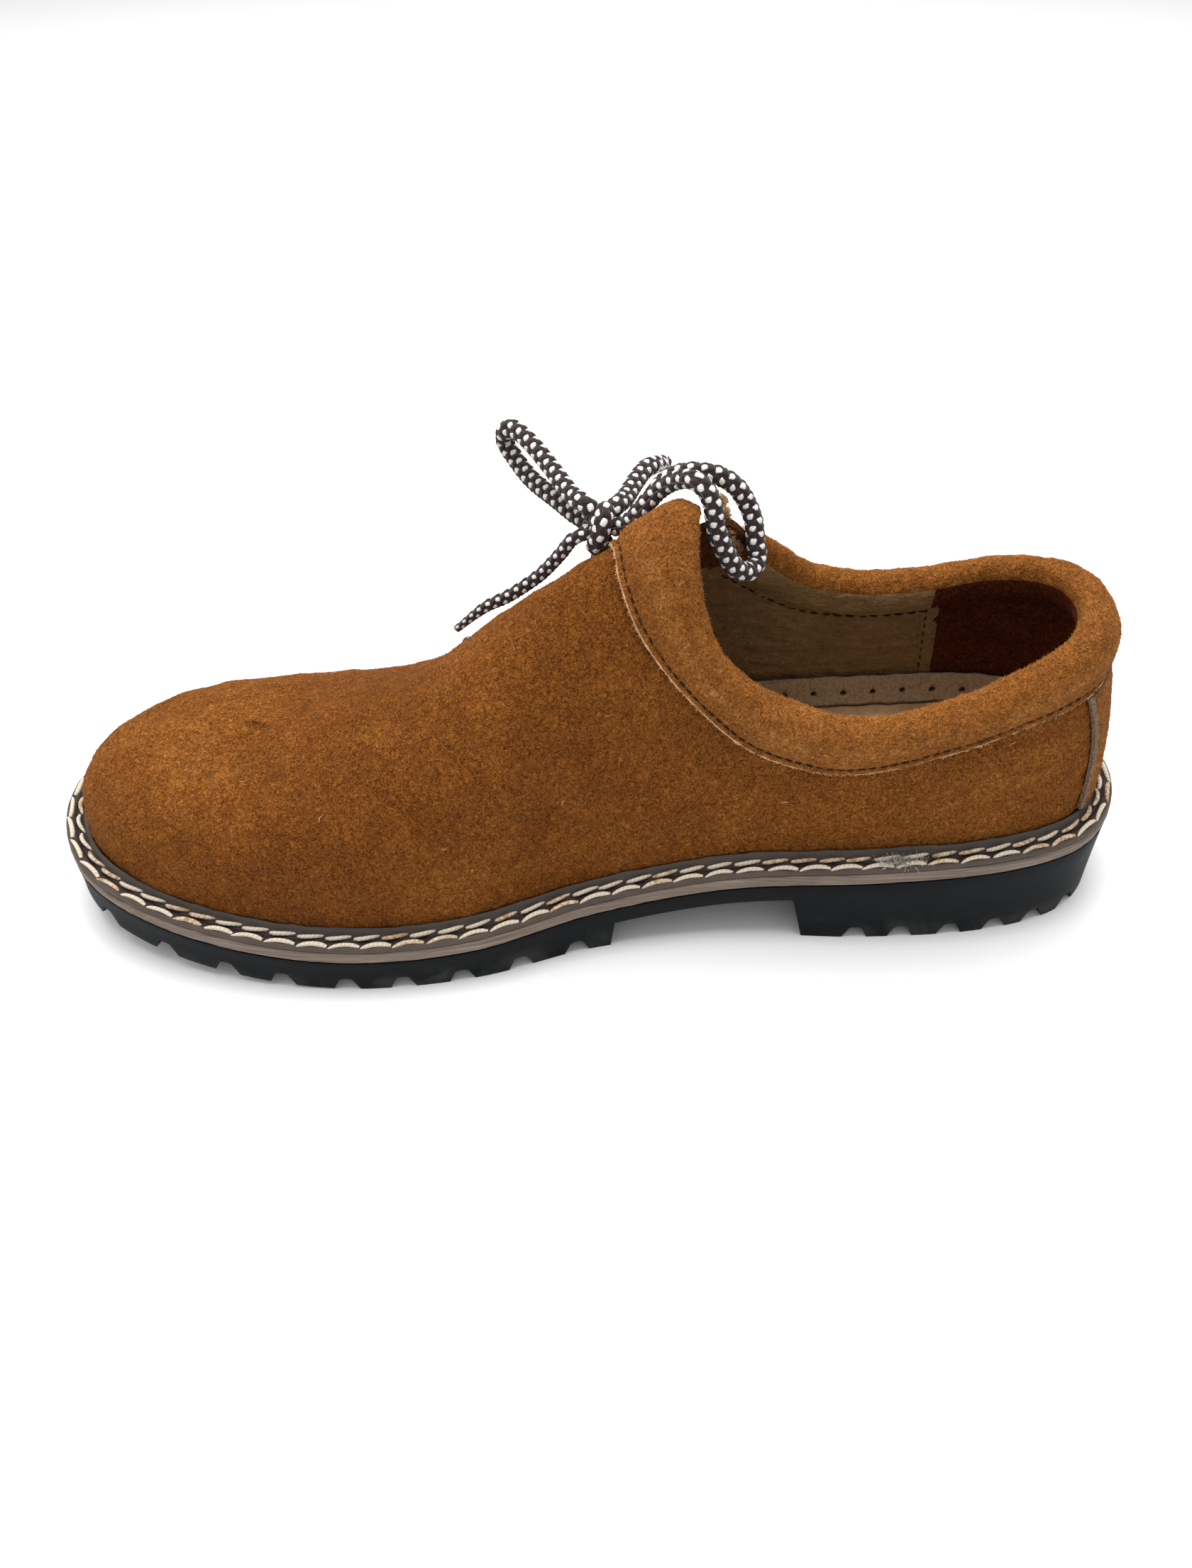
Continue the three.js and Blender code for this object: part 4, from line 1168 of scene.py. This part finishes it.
# Raw cut edge of the collar's band, pale and frayed
def collar_raw_edge():
    rows = collar_rows(700)
    line = collar_skin(rows, 1.0, 1.0)
    out = unit(collar_skin(rows, 1.0, 2.0) - line)
    down = unit(collar_skin(rows, 1.05, 1.0) - line)
    ragged = 0.42 + 0.14 * ripple(line, 3.0, 71, 12)
    piece = join_tubes("collar_raw_edge", [tube_points(line, ragged, 8)], [raw_edge.material])
    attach(piece, "root")
    count = 2200
    picked = chance.integers(0, len(line), count)
    roots = line[picked] + chance.normal(scale=0.22, size=(count, 3))
    fibres("collar_edge_fray", roots, unit(out[picked] + 0.6 * down[picked]), raw_fibre,
           length=(0.4, 1.1), lift=(0.05, 0.45), flow=down[picked] * 1.2)


# Padded leather strip inside the collar, down to its puckered seam
STRIP_TOP, STRIP_FOOT, STRIP_PUCKERS = 0.5, 0.94, 62


def collar_inner_strip():
    rows = collar_rows(420)
    share = np.linspace(0, 1, 12)
    down = lerp(STRIP_TOP, STRIP_FOOT, share)[None]
    out = (-2.5 - 2.6 * (1 - share) ** 1.4)[None]
    grid = collar_skin(rows[:, None, :], down, out)
    inward = collar_skin(rows[:, None, :], down, out - 1) - grid
    along = np.linspace(0, 2 * np.pi * STRIP_PUCKERS, len(rows))
    pucker = 0.3 * np.sin(along)[:, None] * smoothstep(share, 0.35, 0.85)[None]
    soft = 0.25 * ripple(grid, 7, 72, 12)
    outer = grid + inward * (pucker + soft)[..., None]
    under = grid - inward * 0.9
    seam = [int(np.argmin(np.abs(rows[:, 0] - side * STRIP_SEAM))) for side in (-1, 1)]
    parts = {"front": (0, seam[0] + 1), "heel": (seam[0], seam[1] + 1), "back": (seam[1], len(rows))}
    for part, (low, high) in parts.items():
        look = dark_suede if part == "heel" else lining
        piece = slab("collar_inner_strip_" + part, outer[low:high], under[low:high], [look.material])
        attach(piece, "root")
    for low, high, name in ((12, seam[0], "front"), (seam[1], len(rows) - 4, "back")):
        line = collar_skin(rows[low:high], STITCH_ROW, -2.75)
        normals = unit(collar_skin(rows[low:high], STITCH_ROW, -3.75) - line)
        stitches("inner_strip_stitches_" + name, line, normals, 3.4, 0.72, 0.26, 0.15, brown_thread,
                 sunk=0.15)


# Low leather band with a stitch row on each side inside, where the heel's dark suede starts. It leans
# away from the heel as it rises.
SEAM_FOOT, SEAM_TOP, SEAM_LEAN, SEAM_WIDTH = 0.07, 0.36, 1.7, 2.7


def heel_seams():
    def seam_turn(climb):
        return HEEL_SEAM - 0.6 + SEAM_LEAN * (climb - SEAM_FOOT) / (SEAM_TOP - SEAM_FOOT)

    for sign, name in ((-1, "medial"), (1, "lateral")):
        climb = np.linspace(SEAM_FOOT, SEAM_TOP, 60)
        across = np.linspace(0, 1, 8)[:, None]
        turn = sign * (seam_turn(climb)[None] - 1.9 + SEAM_WIDTH * across)
        swell = np.sin(np.pi * np.clip(across, 0.02, 0.98)) ** 0.5
        outer = skin(turn, climb, -WALL - 0.2 - 0.5 * swell)
        outer = outer + 0.08 * ripple(outer, 3, 74, 12)[..., None]
        under = skin(turn, climb, -WALL + 0.2)
        piece = slab("heel_seam_" + name, outer, under, [lining.material])
        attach(piece, "root")
        climb = np.linspace(SEAM_FOOT + 0.01, SEAM_TOP - 0.01, 300)
        turn = sign * (seam_turn(climb) + 0.1)
        line = skin(turn, climb, -WALL - 0.4)
        normals = unit(skin(turn, climb, -WALL - 1.4) - line)
        stitches("heel_seam_stitches_" + name, line, normals, 3.2, 0.85, 0.28, 0.15, brown_thread,
                 sunk=0.1)


# Shape along a stitch at even places: full ends, or a point at the far end
BLUNT = (0.5, 0.9, 1, 1, 1, 0.9, 0.5)
OUTER_THREAD = (0.35, 0.8, 0.95, 1, 1.05, 1.05, 0.75)
INNER_THREAD = (0.65, 1, 1, 1, 0.95, 0.8, 0.35)
OUTER_BOW = (-0.7, -0.2, 0.1, 0.25, 0.3, 0.22, -0.1)
INNER_BOW = (-0.1, -0.32, -0.36, -0.25, 0, 0.35, 0.75)


def smooth_values(values, t):
    table = np.column_stack([np.linspace(0, 1, len(values)), values])
    return reading(table, 1, t)


# Stitches as short arched threads between points on a line, seen from outside along the normals
def stitches(name, line, normals, pitch, share, radius, arch, look, sideways=None, thickness=BLUNT,
             sides=8, segments=8, stain=0.3, sunk=0.25):
    along = np.r_[0, np.cumsum(np.linalg.norm(np.diff(line, axis=0), axis=1))]
    count = max(int(round(along[-1] / pitch)), 1)
    pitch = along[-1] / count
    tubes, uvs, stains = [], [], []
    for k in range(count):
        length = pitch * share * chance.uniform(0.95, 1.05)
        start = (k + 0.5) * pitch - length / 2 + chance.uniform(-0.03, 0.03) * pitch
        t = np.linspace(0, 1, segments + 1)
        at = start + t * length
        p = np.column_stack([np.interp(at, along, line[:, c]) for c in range(3)])
        n = unit(np.column_stack([np.interp(at, along, normals[:, c]) for c in range(3)]))
        tangent = unit(p[-1] - p[0])
        inward = unit(np.cross(n, tangent))
        hump = np.sin(np.pi * t)[:, None]
        p = p + n * (arch * hump - sunk * (1 - hump))
        if sideways is not None:
            bow = smooth_values(sideways, t)[:, None] * chance.uniform(0.85, 1.15)
            p = p + inward * bow
        thick = radius * smooth_values(thickness, t) * chance.uniform(0.92, 1.08)
        tubes.append(tube_points(p, thick, sides))
        angle = np.linspace(0, 1, sides, endpoint=False)
        uvs.append(np.stack(np.broadcast_arrays((t * length)[:, None], angle[None]), -1))
        stains.append(chance.random() < stain)
    piece = join_tubes(name, tubes, [look.material], uvs, sharp=80)
    mark(piece, "stain", np.repeat(stains, (segments + 1) * sides))
    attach(piece, "root")


def collar_stitches():
    rows = collar_rows(900)[30:]
    line = collar_skin(rows, STITCH_ROW, 1.4)
    normals = unit(collar_skin(rows, STITCH_ROW, 2.4) - line)
    stitches("collar_stitches", line, normals, 2.7, 0.78, 0.3, 0.12, brown_thread,
             sunk=0.2)


# Strip down the heel back, with a cut edge on both sides
BACKSTAY_HALF, BACKSTAY_FOOT = 23.2, 0.03
CUT_EDGE, CUT_EDGE_DROP = 1.1, 0.35
BACKSTAY_FACE, BACKSTAY_BACK = 1.7, 0.35


def backstay():
    places = np.r_[-BACKSTAY_HALF, np.linspace(CUT_EDGE - BACKSTAY_HALF, BACKSTAY_HALF - CUT_EDGE, 70),
                   BACKSTAY_HALF]
    rows = 60
    flare = 1 + 0.16 * np.linspace(0, 1, rows) ** 3 - 0.05 * np.sin(np.linspace(0, np.pi, rows))
    turn = places[:, None] * flare[None]
    top = reading(COLLAR[:, 2:], 1, turn[:, -1]) - 0.008
    climb = BACKSTAY_FOOT + (top[:, None] - BACKSTAY_FOOT) * np.linspace(0, 1, rows)[None]
    edge_drop = np.r_[CUT_EDGE_DROP, np.zeros(len(places) - 2), CUT_EDGE_DROP][:, None]
    outer = skin(turn, climb, BACKSTAY_FACE - edge_drop)
    outer = outer + outward(turn, climb) * (0.10 * ripple(outer, 2.4, 31, 16))[..., None]
    inner = skin(turn, climb, BACKSTAY_BACK)
    piece = slab("heel_backstay", outer, inner, [collar_suede.material, grey_edge.material], 1)
    for k in (0, len(places) - 2):
        for c in range(rows - 1):
            piece.data.polygons[k * (rows - 1) + c].material_index = 1
    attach(piece, "root")
    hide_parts("backstay")
    nap("backstay_nap", outer[2:-2], BACKSTAY_NAP, collar_fibre)


# Tongue under the throat. Its frayed edge shows through the opening, along a line of turn, climb and
# distance out from the last.
TONGUE_FROM, TONGUE_TO, TONGUE_THICKNESS = 72.8, 109, 1.8
FRAYED_LINE = ((77.4, 0.93, -1.5), (76.9, 0.85, -3.6), (76.0, 0.76, -6.6), (75.2, 0.66, -8.6),
               (74.8, 0.58, -9.0))


def tongue():
    turn = np.linspace(TONGUE_FROM, TONGUE_TO, 90)[:, None] * np.ones(30)
    spread = smoothstep(turn[:, 0], 80, 100)
    low, high = lerp(0.56, 0.42, spread), lerp(0.82, 0.79, spread)
    high = lerp(0.66, high, smoothstep(turn[:, 0], TONGUE_FROM, 76.5))
    climb = low[:, None] + (high - low)[:, None] * np.linspace(0, 1, 30)[None]
    under = WALL + 0.8 + 3.4 * (1 - smoothstep(turn, 84, 92))
    outer = skin(turn, climb, -under)
    inner = skin(turn, climb, -under - TONGUE_THICKNESS)
    ragged = 0.5 * ripple(outer, 3.0, 41, 12) * smoothstep(turn, 74.5, TONGUE_FROM)
    for grid in (outer, inner):
        grid[..., 0] += ragged
    # The tongue's suede is painted darker for the shade under the throat
    piece = slab("tongue_suede", outer, inner, [throat_shaded_suede.material])
    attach(piece, "root")
    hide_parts("tongue")
    line = smooth_line([skin(*place) for place in FRAYED_LINE], 0.25)
    rails = []
    for seed, shift in ((42, 0), (43, 1.0), (44, -0.9)):
        wander = np.stack([ripple(line, 5, seed + 10 * axis, 8) for axis in range(3)], -1) * 0.45
        lumps = np.clip(0.85 + 0.5 * ripple(line, 2.6, seed, 12), 0.3, 1.5)
        rails.append(tube_points(line + wander + np.array([shift, 0.3 * shift, 0]), lumps, 10))
    body = join_tubes("tongue_raw_edge", rails, [frayed_edge.material])
    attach(body, "root")
    count = 900
    picked = chance.integers(0, len(line), count)
    roots = line[picked] + chance.normal(scale=0.75, size=(count, 3))
    out = unit(chance.normal(size=(count, 3)) + (0.8, -0.9, 0.6))
    fibres("tongue_fray", roots, out, raw_fibre, length=(0.8, 1.8), thick=(0.1, 0.22),
           lift=(0.2, 0.9))


# Welt section: distance in from the sole's edge and height over the midsole
WELT = np.array([
    (0.35, GAP), (0.3, 0.9), (0.5, 1.4), (0.9, 1.65), (1.6, 1.72), (2.7, 1.7), (3.0, 1.45), (3.4, 1.3),
    (3.8, 1.4), (4.1, 1.75), (4.9, 1.95), (5.2, 2.3), (5.5, 2.9), (5.9, 3.4), (6.35, 3.5), (6.6, 3.2),
    (6.65, GAP),
])
RING_TURNS = np.linspace(-180, 180, 541)[:-1]


# A closed ring round the sole, from a grid whose rows go round and whose columns are its section
def ring_piece(name, grid, look, sharp):
    faces = grid_faces(*grid.shape[:2], close_rows=True, close_columns=True)
    return make_mesh(name, grid, faces, [look.material], sharp=sharp)


# Stitch rows: distance in from the sole's edge and height over the midsole
OUTER_ROW, INNER_ROW = (1.6, 1.75), (4.2, 1.95)


def ring_line(inset, height):
    return edge_point(np.linspace(-180, 180, 1600), inset, midsole_top, height)


def welt():
    profile = halved(WELT)
    grid = edge_point(RING_TURNS[:, None], profile[:, 0], midsole_top, profile[:, 1])
    worn = 0.12 * ripple(grid, 5, 51, 12) + 0.18 * ripple(grid, 22, 52, 8)
    grid[..., 2] += worn * smoothstep(profile[:, 1], 0.6, 1.4)[None]
    piece = ring_piece("welt_strip", grid, welt_strip, 55)
    mark(piece, "across", np.tile(profile[:, 0], len(grid)))
    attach(piece, "root")
    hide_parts("welt")
    up = np.tile((0.0, 0.0, 1.0), (1600, 1))
    stitches("welt_stitches_outer", ring_line(*OUTER_ROW), up, 8.6, 0.96, 0.6, 0.25, cream_thread,
             OUTER_BOW, OUTER_THREAD, sides=12, segments=14, stain=0.2, sunk=0.3)
    stitches("welt_stitches_inner", ring_line(*INNER_ROW), up, 7.5, 0.95, 0.58, 0.3, cream_thread,
             INNER_BOW, INNER_THREAD, sides=12, segments=14, stain=0.35, sunk=0.3)


# Edge of the midsole from its foot up: height for a midsole of 4, and distance in
MIDSOLE_EDGE = np.array([
    (0.02, 0.25), (0.25, 0.08), (0.6, 0.0), (1.4, -0.03), (2.4, 0.0), (3.2, 0.02), (3.6, 0.08),
    (3.85, 0.3), (3.98, 0.7),
])
MIDSOLE_INNER = 14.0


def midsole():
    side = edge_point(RING_TURNS[:, None], MIDSOLE_EDGE[:, 1], rubber_top, GAP)
    side[..., 2] += MIDSOLE_EDGE[:, 0] * (MIDSOLE - GAP) / 4
    side += 0.08 * ripple(side, 3.5, 61, 12)[..., None] * unit(side * (1, 1, 0))
    inner = edge_point(RING_TURNS[:, None], np.full(2, MIDSOLE_INNER), rubber_top, GAP)
    inner[:, 0, 2] += MIDSOLE - GAP
    piece = ring_piece("midsole_edge", np.concatenate([side, inner], axis=1), taupe, 50)
    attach(piece, "root")
    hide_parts("midsole")


# Cutters reach this far outside the sole's edge and under the ground
CUTTER_REACH = 6


def box_of(name, sections):
    count = len(sections[0])
    points = np.vstack(sections)
    faces = [tuple(range(count))[::-1], tuple(range(count, 2 * count))]
    faces += [(p, (p + 1) % count, count + (p + 1) % count, count + p) for p in range(count)]
    return make_mesh(name, points, faces, [])


def arch_cutter():
    s = np.linspace(BREAST_AT + BREAST_LEAN, LUG_END, 24)
    x = np.r_[LENGTH / 2 - BREAST_AT, LENGTH / 2 - s, LENGTH / 2 - LUG_END - 2]
    z = np.r_[-CUTTER_REACH, rubber_top(s) - ARCH_RUBBER, -CUTTER_REACH]
    return box_of("arch_cutter", [np.column_stack([x, np.full(len(x), y), z]) for y in (75.0, -75.0)])


# Groove between two side lugs, wider at the ground
def notch_cutter(turn):
    outside, inside = edge(turn, -CUTTER_REACH), edge(turn, LUG_REACH)
    across = unit(np.array([outside[1] - inside[1], inside[0] - outside[0]]))
    foot = tread_height(station_at(turn))
    half, arc = NOTCH_WIDTH / 2, 1.5
    bow = [(half - arc + arc * math.cos(a), LUG_DEPTH - arc + arc * math.sin(a))
           for a in np.linspace(0.2, math.pi / 2, 6)]
    right_half = [(half + NOTCH_FLARE, -CUTTER_REACH), *bow]
    corners = right_half + [(-aside, up) for aside, up in right_half[::-1]]
    sections = [np.array([(*(at + across * aside), foot + up) for aside, up in corners])
                for at in (outside, inside)]
    return box_of("notch_cutter", sections)


def outsole():
    share = np.linspace(0, 1, 7)
    at = edge(RING_TURNS[::2, None], 0.15 * np.sin(np.pi * share))
    s = LENGTH / 2 - at[..., 0]
    z = lerp(tread_height(s), rubber_top(s), share[None])
    grid = np.concatenate([at, z[..., None]], -1)
    rows, columns = grid.shape[:2]
    faces = grid_faces(rows, columns, close_rows=True)
    for column in (0, columns - 1):
        faces += ring_cap(rows, columns, column)
    piece = make_mesh("outsole_lugged", grid, faces, [rubber.material], sharp=40)
    turns = [turn_at(s) for s in FORE_NOTCHES + HEEL_NOTCHES]
    notches = [notch_cutter(sign * t) for t in turns for sign in (1, -1)]
    bpy.ops.object.select_all(action="DESELECT")
    for notch in notches:
        notch.select_set(True)
    bpy.context.view_layer.objects.active = notches[0]
    bpy.ops.object.join()
    bore(piece, [arch_cutter(), notches[0]])
    apply_modifier(piece, "BEVEL", width=0.5 * MM, segments=2, limit_method="ANGLE",
                   angle_limit=math.radians(35))
    piece.data.polygons.foreach_set("use_smooth", np.ones(len(piece.data.polygons), bool))
    piece.data.set_sharp_from_angle(angle=math.radians(35))
    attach(piece, "root")
    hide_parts("outsole")


# Footbed with its upstanding, perforated rim, which gets lower towards the toe
RIM_HOLE, RIM_HOLE_PITCH, RIM_HOLES_TO = 0.9, 8.8, 86
RIM_LOW, RIM_FALL_START, RIM_FALL_END = 1.5, 95, 185
# Section from the rim's foot outside to the flat: distance in, share of the rim's height, and 1
# where it stands on the board
FOOTBED = [
    (0.0, 0.0, 0), (0.0, 0.4, 1), (0.0, 0.9, 1), (0.3, 1.0, 1), (0.8, 1.02, 1), (1.3, 0.97, 1),
    (1.7, 0.84, 1), (2.3, 0.64, 1), (2.7, 0.5, 1), (3.1, 0.39, 1), (3.35, 0.33, 1), (3.5, 0.23, 1),
    (3.65, 0.26, 1), (4.4, 0.12, 1), (6.0, 0.02, 1), (9, 0.0, 1), (13, 0.0, 1),
]
RIM_EDGE = 3.45


def footbed_rim(s):
    return lerp(INSOLE_RIM, RIM_LOW, smoothstep(s, RIM_FALL_START, RIM_FALL_END))


def footbed_point(turn, inset, share, raised=1):
    points = edge_point(turn, INSOLE_FIT + inset, midsole_top, GAP)
    s = LENGTH / 2 - points[..., 0]
    points[..., 2] += raised * (INSOLE + footbed_rim(s) * share)
    return points


# Cutters of the small holes through the rim
def rim_pits():
    turns = np.linspace(-RIM_HOLES_TO, RIM_HOLES_TO, 1200)
    rail = footbed_point(turns, 2.4, 0.6)
    along = np.r_[0, np.cumsum(np.linalg.norm(np.diff(rail, axis=0), axis=1))]
    pits = []
    for distance in np.arange(RIM_HOLE_PITCH / 2, along[-1], RIM_HOLE_PITCH):
        turn = np.interp(distance, along, turns)
        top, low = footbed_point(turn, 1.8, 0.8), footbed_point(turn, 3.0, 0.4)
        sideways = unit(footbed_point(turn + 0.5, 2.4, 0.6) - footbed_point(turn - 0.5, 2.4, 0.6))
        outwards = unit(np.cross(sideways, top - low))
        outwards = outwards * np.sign(outwards[2])
        ends = np.array([(top + low) / 2 + outwards * d for d in (1.5, 0, -2.6)])
        pits.append(tube_points(ends, RIM_HOLE, 16))
    return join_tubes("pit_cutter", pits, [])


def insole():
    round_it = np.radians(RING_TURNS)
    wavy = 0.35 * np.sin(round_it * 31) + 0.3 * np.sin(round_it * 77 + 1)
    rings = [footbed_point(RING_TURNS, inset + (wavy * 0.3 if 3.2 < inset < 3.7 else 0), share, raised)
             for inset, share, raised in FOOTBED]
    grid = np.stack(rings, 1)
    grid[:, 2:, 2] += 0.18 * ripple(grid[:, 2:], 6, 75, 12)
    rows, columns = grid.shape[:2]
    faces = grid_faces(rows, columns, close_rows=True)
    groups = [0 if FOOTBED[c][0] < RIM_EDGE else 1 for _ in range(rows) for c in range(columns - 1)]
    for column, group in ((0, 0), (columns - 1, 1)):
        cap = ring_cap(rows, columns, column)
        faces += cap
        groups += [group] * len(cap)
    piece = make_mesh("footbed", grid, faces, [footbed.material, footbed_flat.material], sharp=50,
                      groups=groups)
    # Dark line along the groove where the rim meets the flat: painted shade in the groove
    marks = np.zeros((rows, columns))
    marks[:, 10:13] = (0.5, 1, 0.5)
    mark(piece, "seam", marks)
    bore(piece, [rim_pits()])
    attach(piece, "root")
    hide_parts("insole")


# Tuft of frayed thread caught in the outer stitch row, and pale lint on the suede
LINT = np.array([
    (-92, 0.286), (-88, 0.457), (-101.5, 0.191), (-43, 0.267), (-118, 0.5), (-70, 0.15), (-131, 0.7),
    (-104, 0.3), (-96, 0.8), (-52, 0.12), (120, 0.6), (95, 0.3), (50, 0.2), (140, 0.7),
])
TUFT_TURN = -56.4


def loose_bits():
    at = edge_point(TUFT_TURN, 2.4, midsole_top, 2.4)
    count = 300
    roots = at + chance.normal(size=(count, 3)) * (3.2, 0.9, 0.5)
    normals = unit(chance.normal(size=(count, 3)) + (0, -0.5, 1.2))
    fibres("welt_thread_tuft", roots, normals, grey_fibre, length=(1.0, 2.8), thick=(0.05, 0.11),
           lift=(0.1, 0.7))
    turn, climb = LINT.T
    fibres("suede_lint", skin(turn, climb, 0.35), outward(turn, climb), lint_fibre,
           length=(1.2, 2.6), thick=(0.06, 0.1), lift=(0.2, 0.8))


def area_light(name, place, target, size, power):
    data = bpy.data.lights.new(name, "AREA")
    data.shape = "RECTANGLE"
    data.size = data.size_y = size
    data.energy = power
    light = bpy.data.objects.new(name, data)
    light.location = place
    light.rotation_mode = "QUATERNION"
    light.rotation_quaternion = (Vector(target) - Vector(place)).to_track_quat("-Z", "Y")
    bpy.context.scene.collection.objects.link(light)


def studio():
    floor_look = Look("pale_floor", 0.95, Base_Color=(0.93, 0.93, 0.93, 1))
    size = 6000
    corners = np.array([(-size, -size, 0), (size, -size, 0), (size, size, 0), (-size, size, 0)], float)
    corners[:, 2] = -0.05
    floor = make_mesh("floor", corners, [(0, 1, 2, 3)], [floor_look.material])
    world = bpy.data.worlds.new("studio")
    world.use_nodes = True
    background = world.node_tree.nodes["Background"]
    background.inputs["Color"].default_value = (1, 1, 1, 1)
    background.inputs["Strength"].default_value = 0.6
    bpy.context.scene.world = world
    area_light("softbox_top", (-0.02, 0.3, 1.15), (0, 0, 0.05), 1.1, 21)
    area_light("softbox_left", (-0.9, -0.1, 0.6), (0, 0, 0.04), 0.7, 1.4)
    bpy.context.scene.view_settings.view_transform = "Standard"


make_camera()
bow()
lace_crossings()
outsole()
midsole()
welt()
insole()
upper()
collar()
collar_stitches()
collar_raw_edge()
collar_inner_strip()
heel_seams()
backstay()
tongue()
loose_bits()
studio()
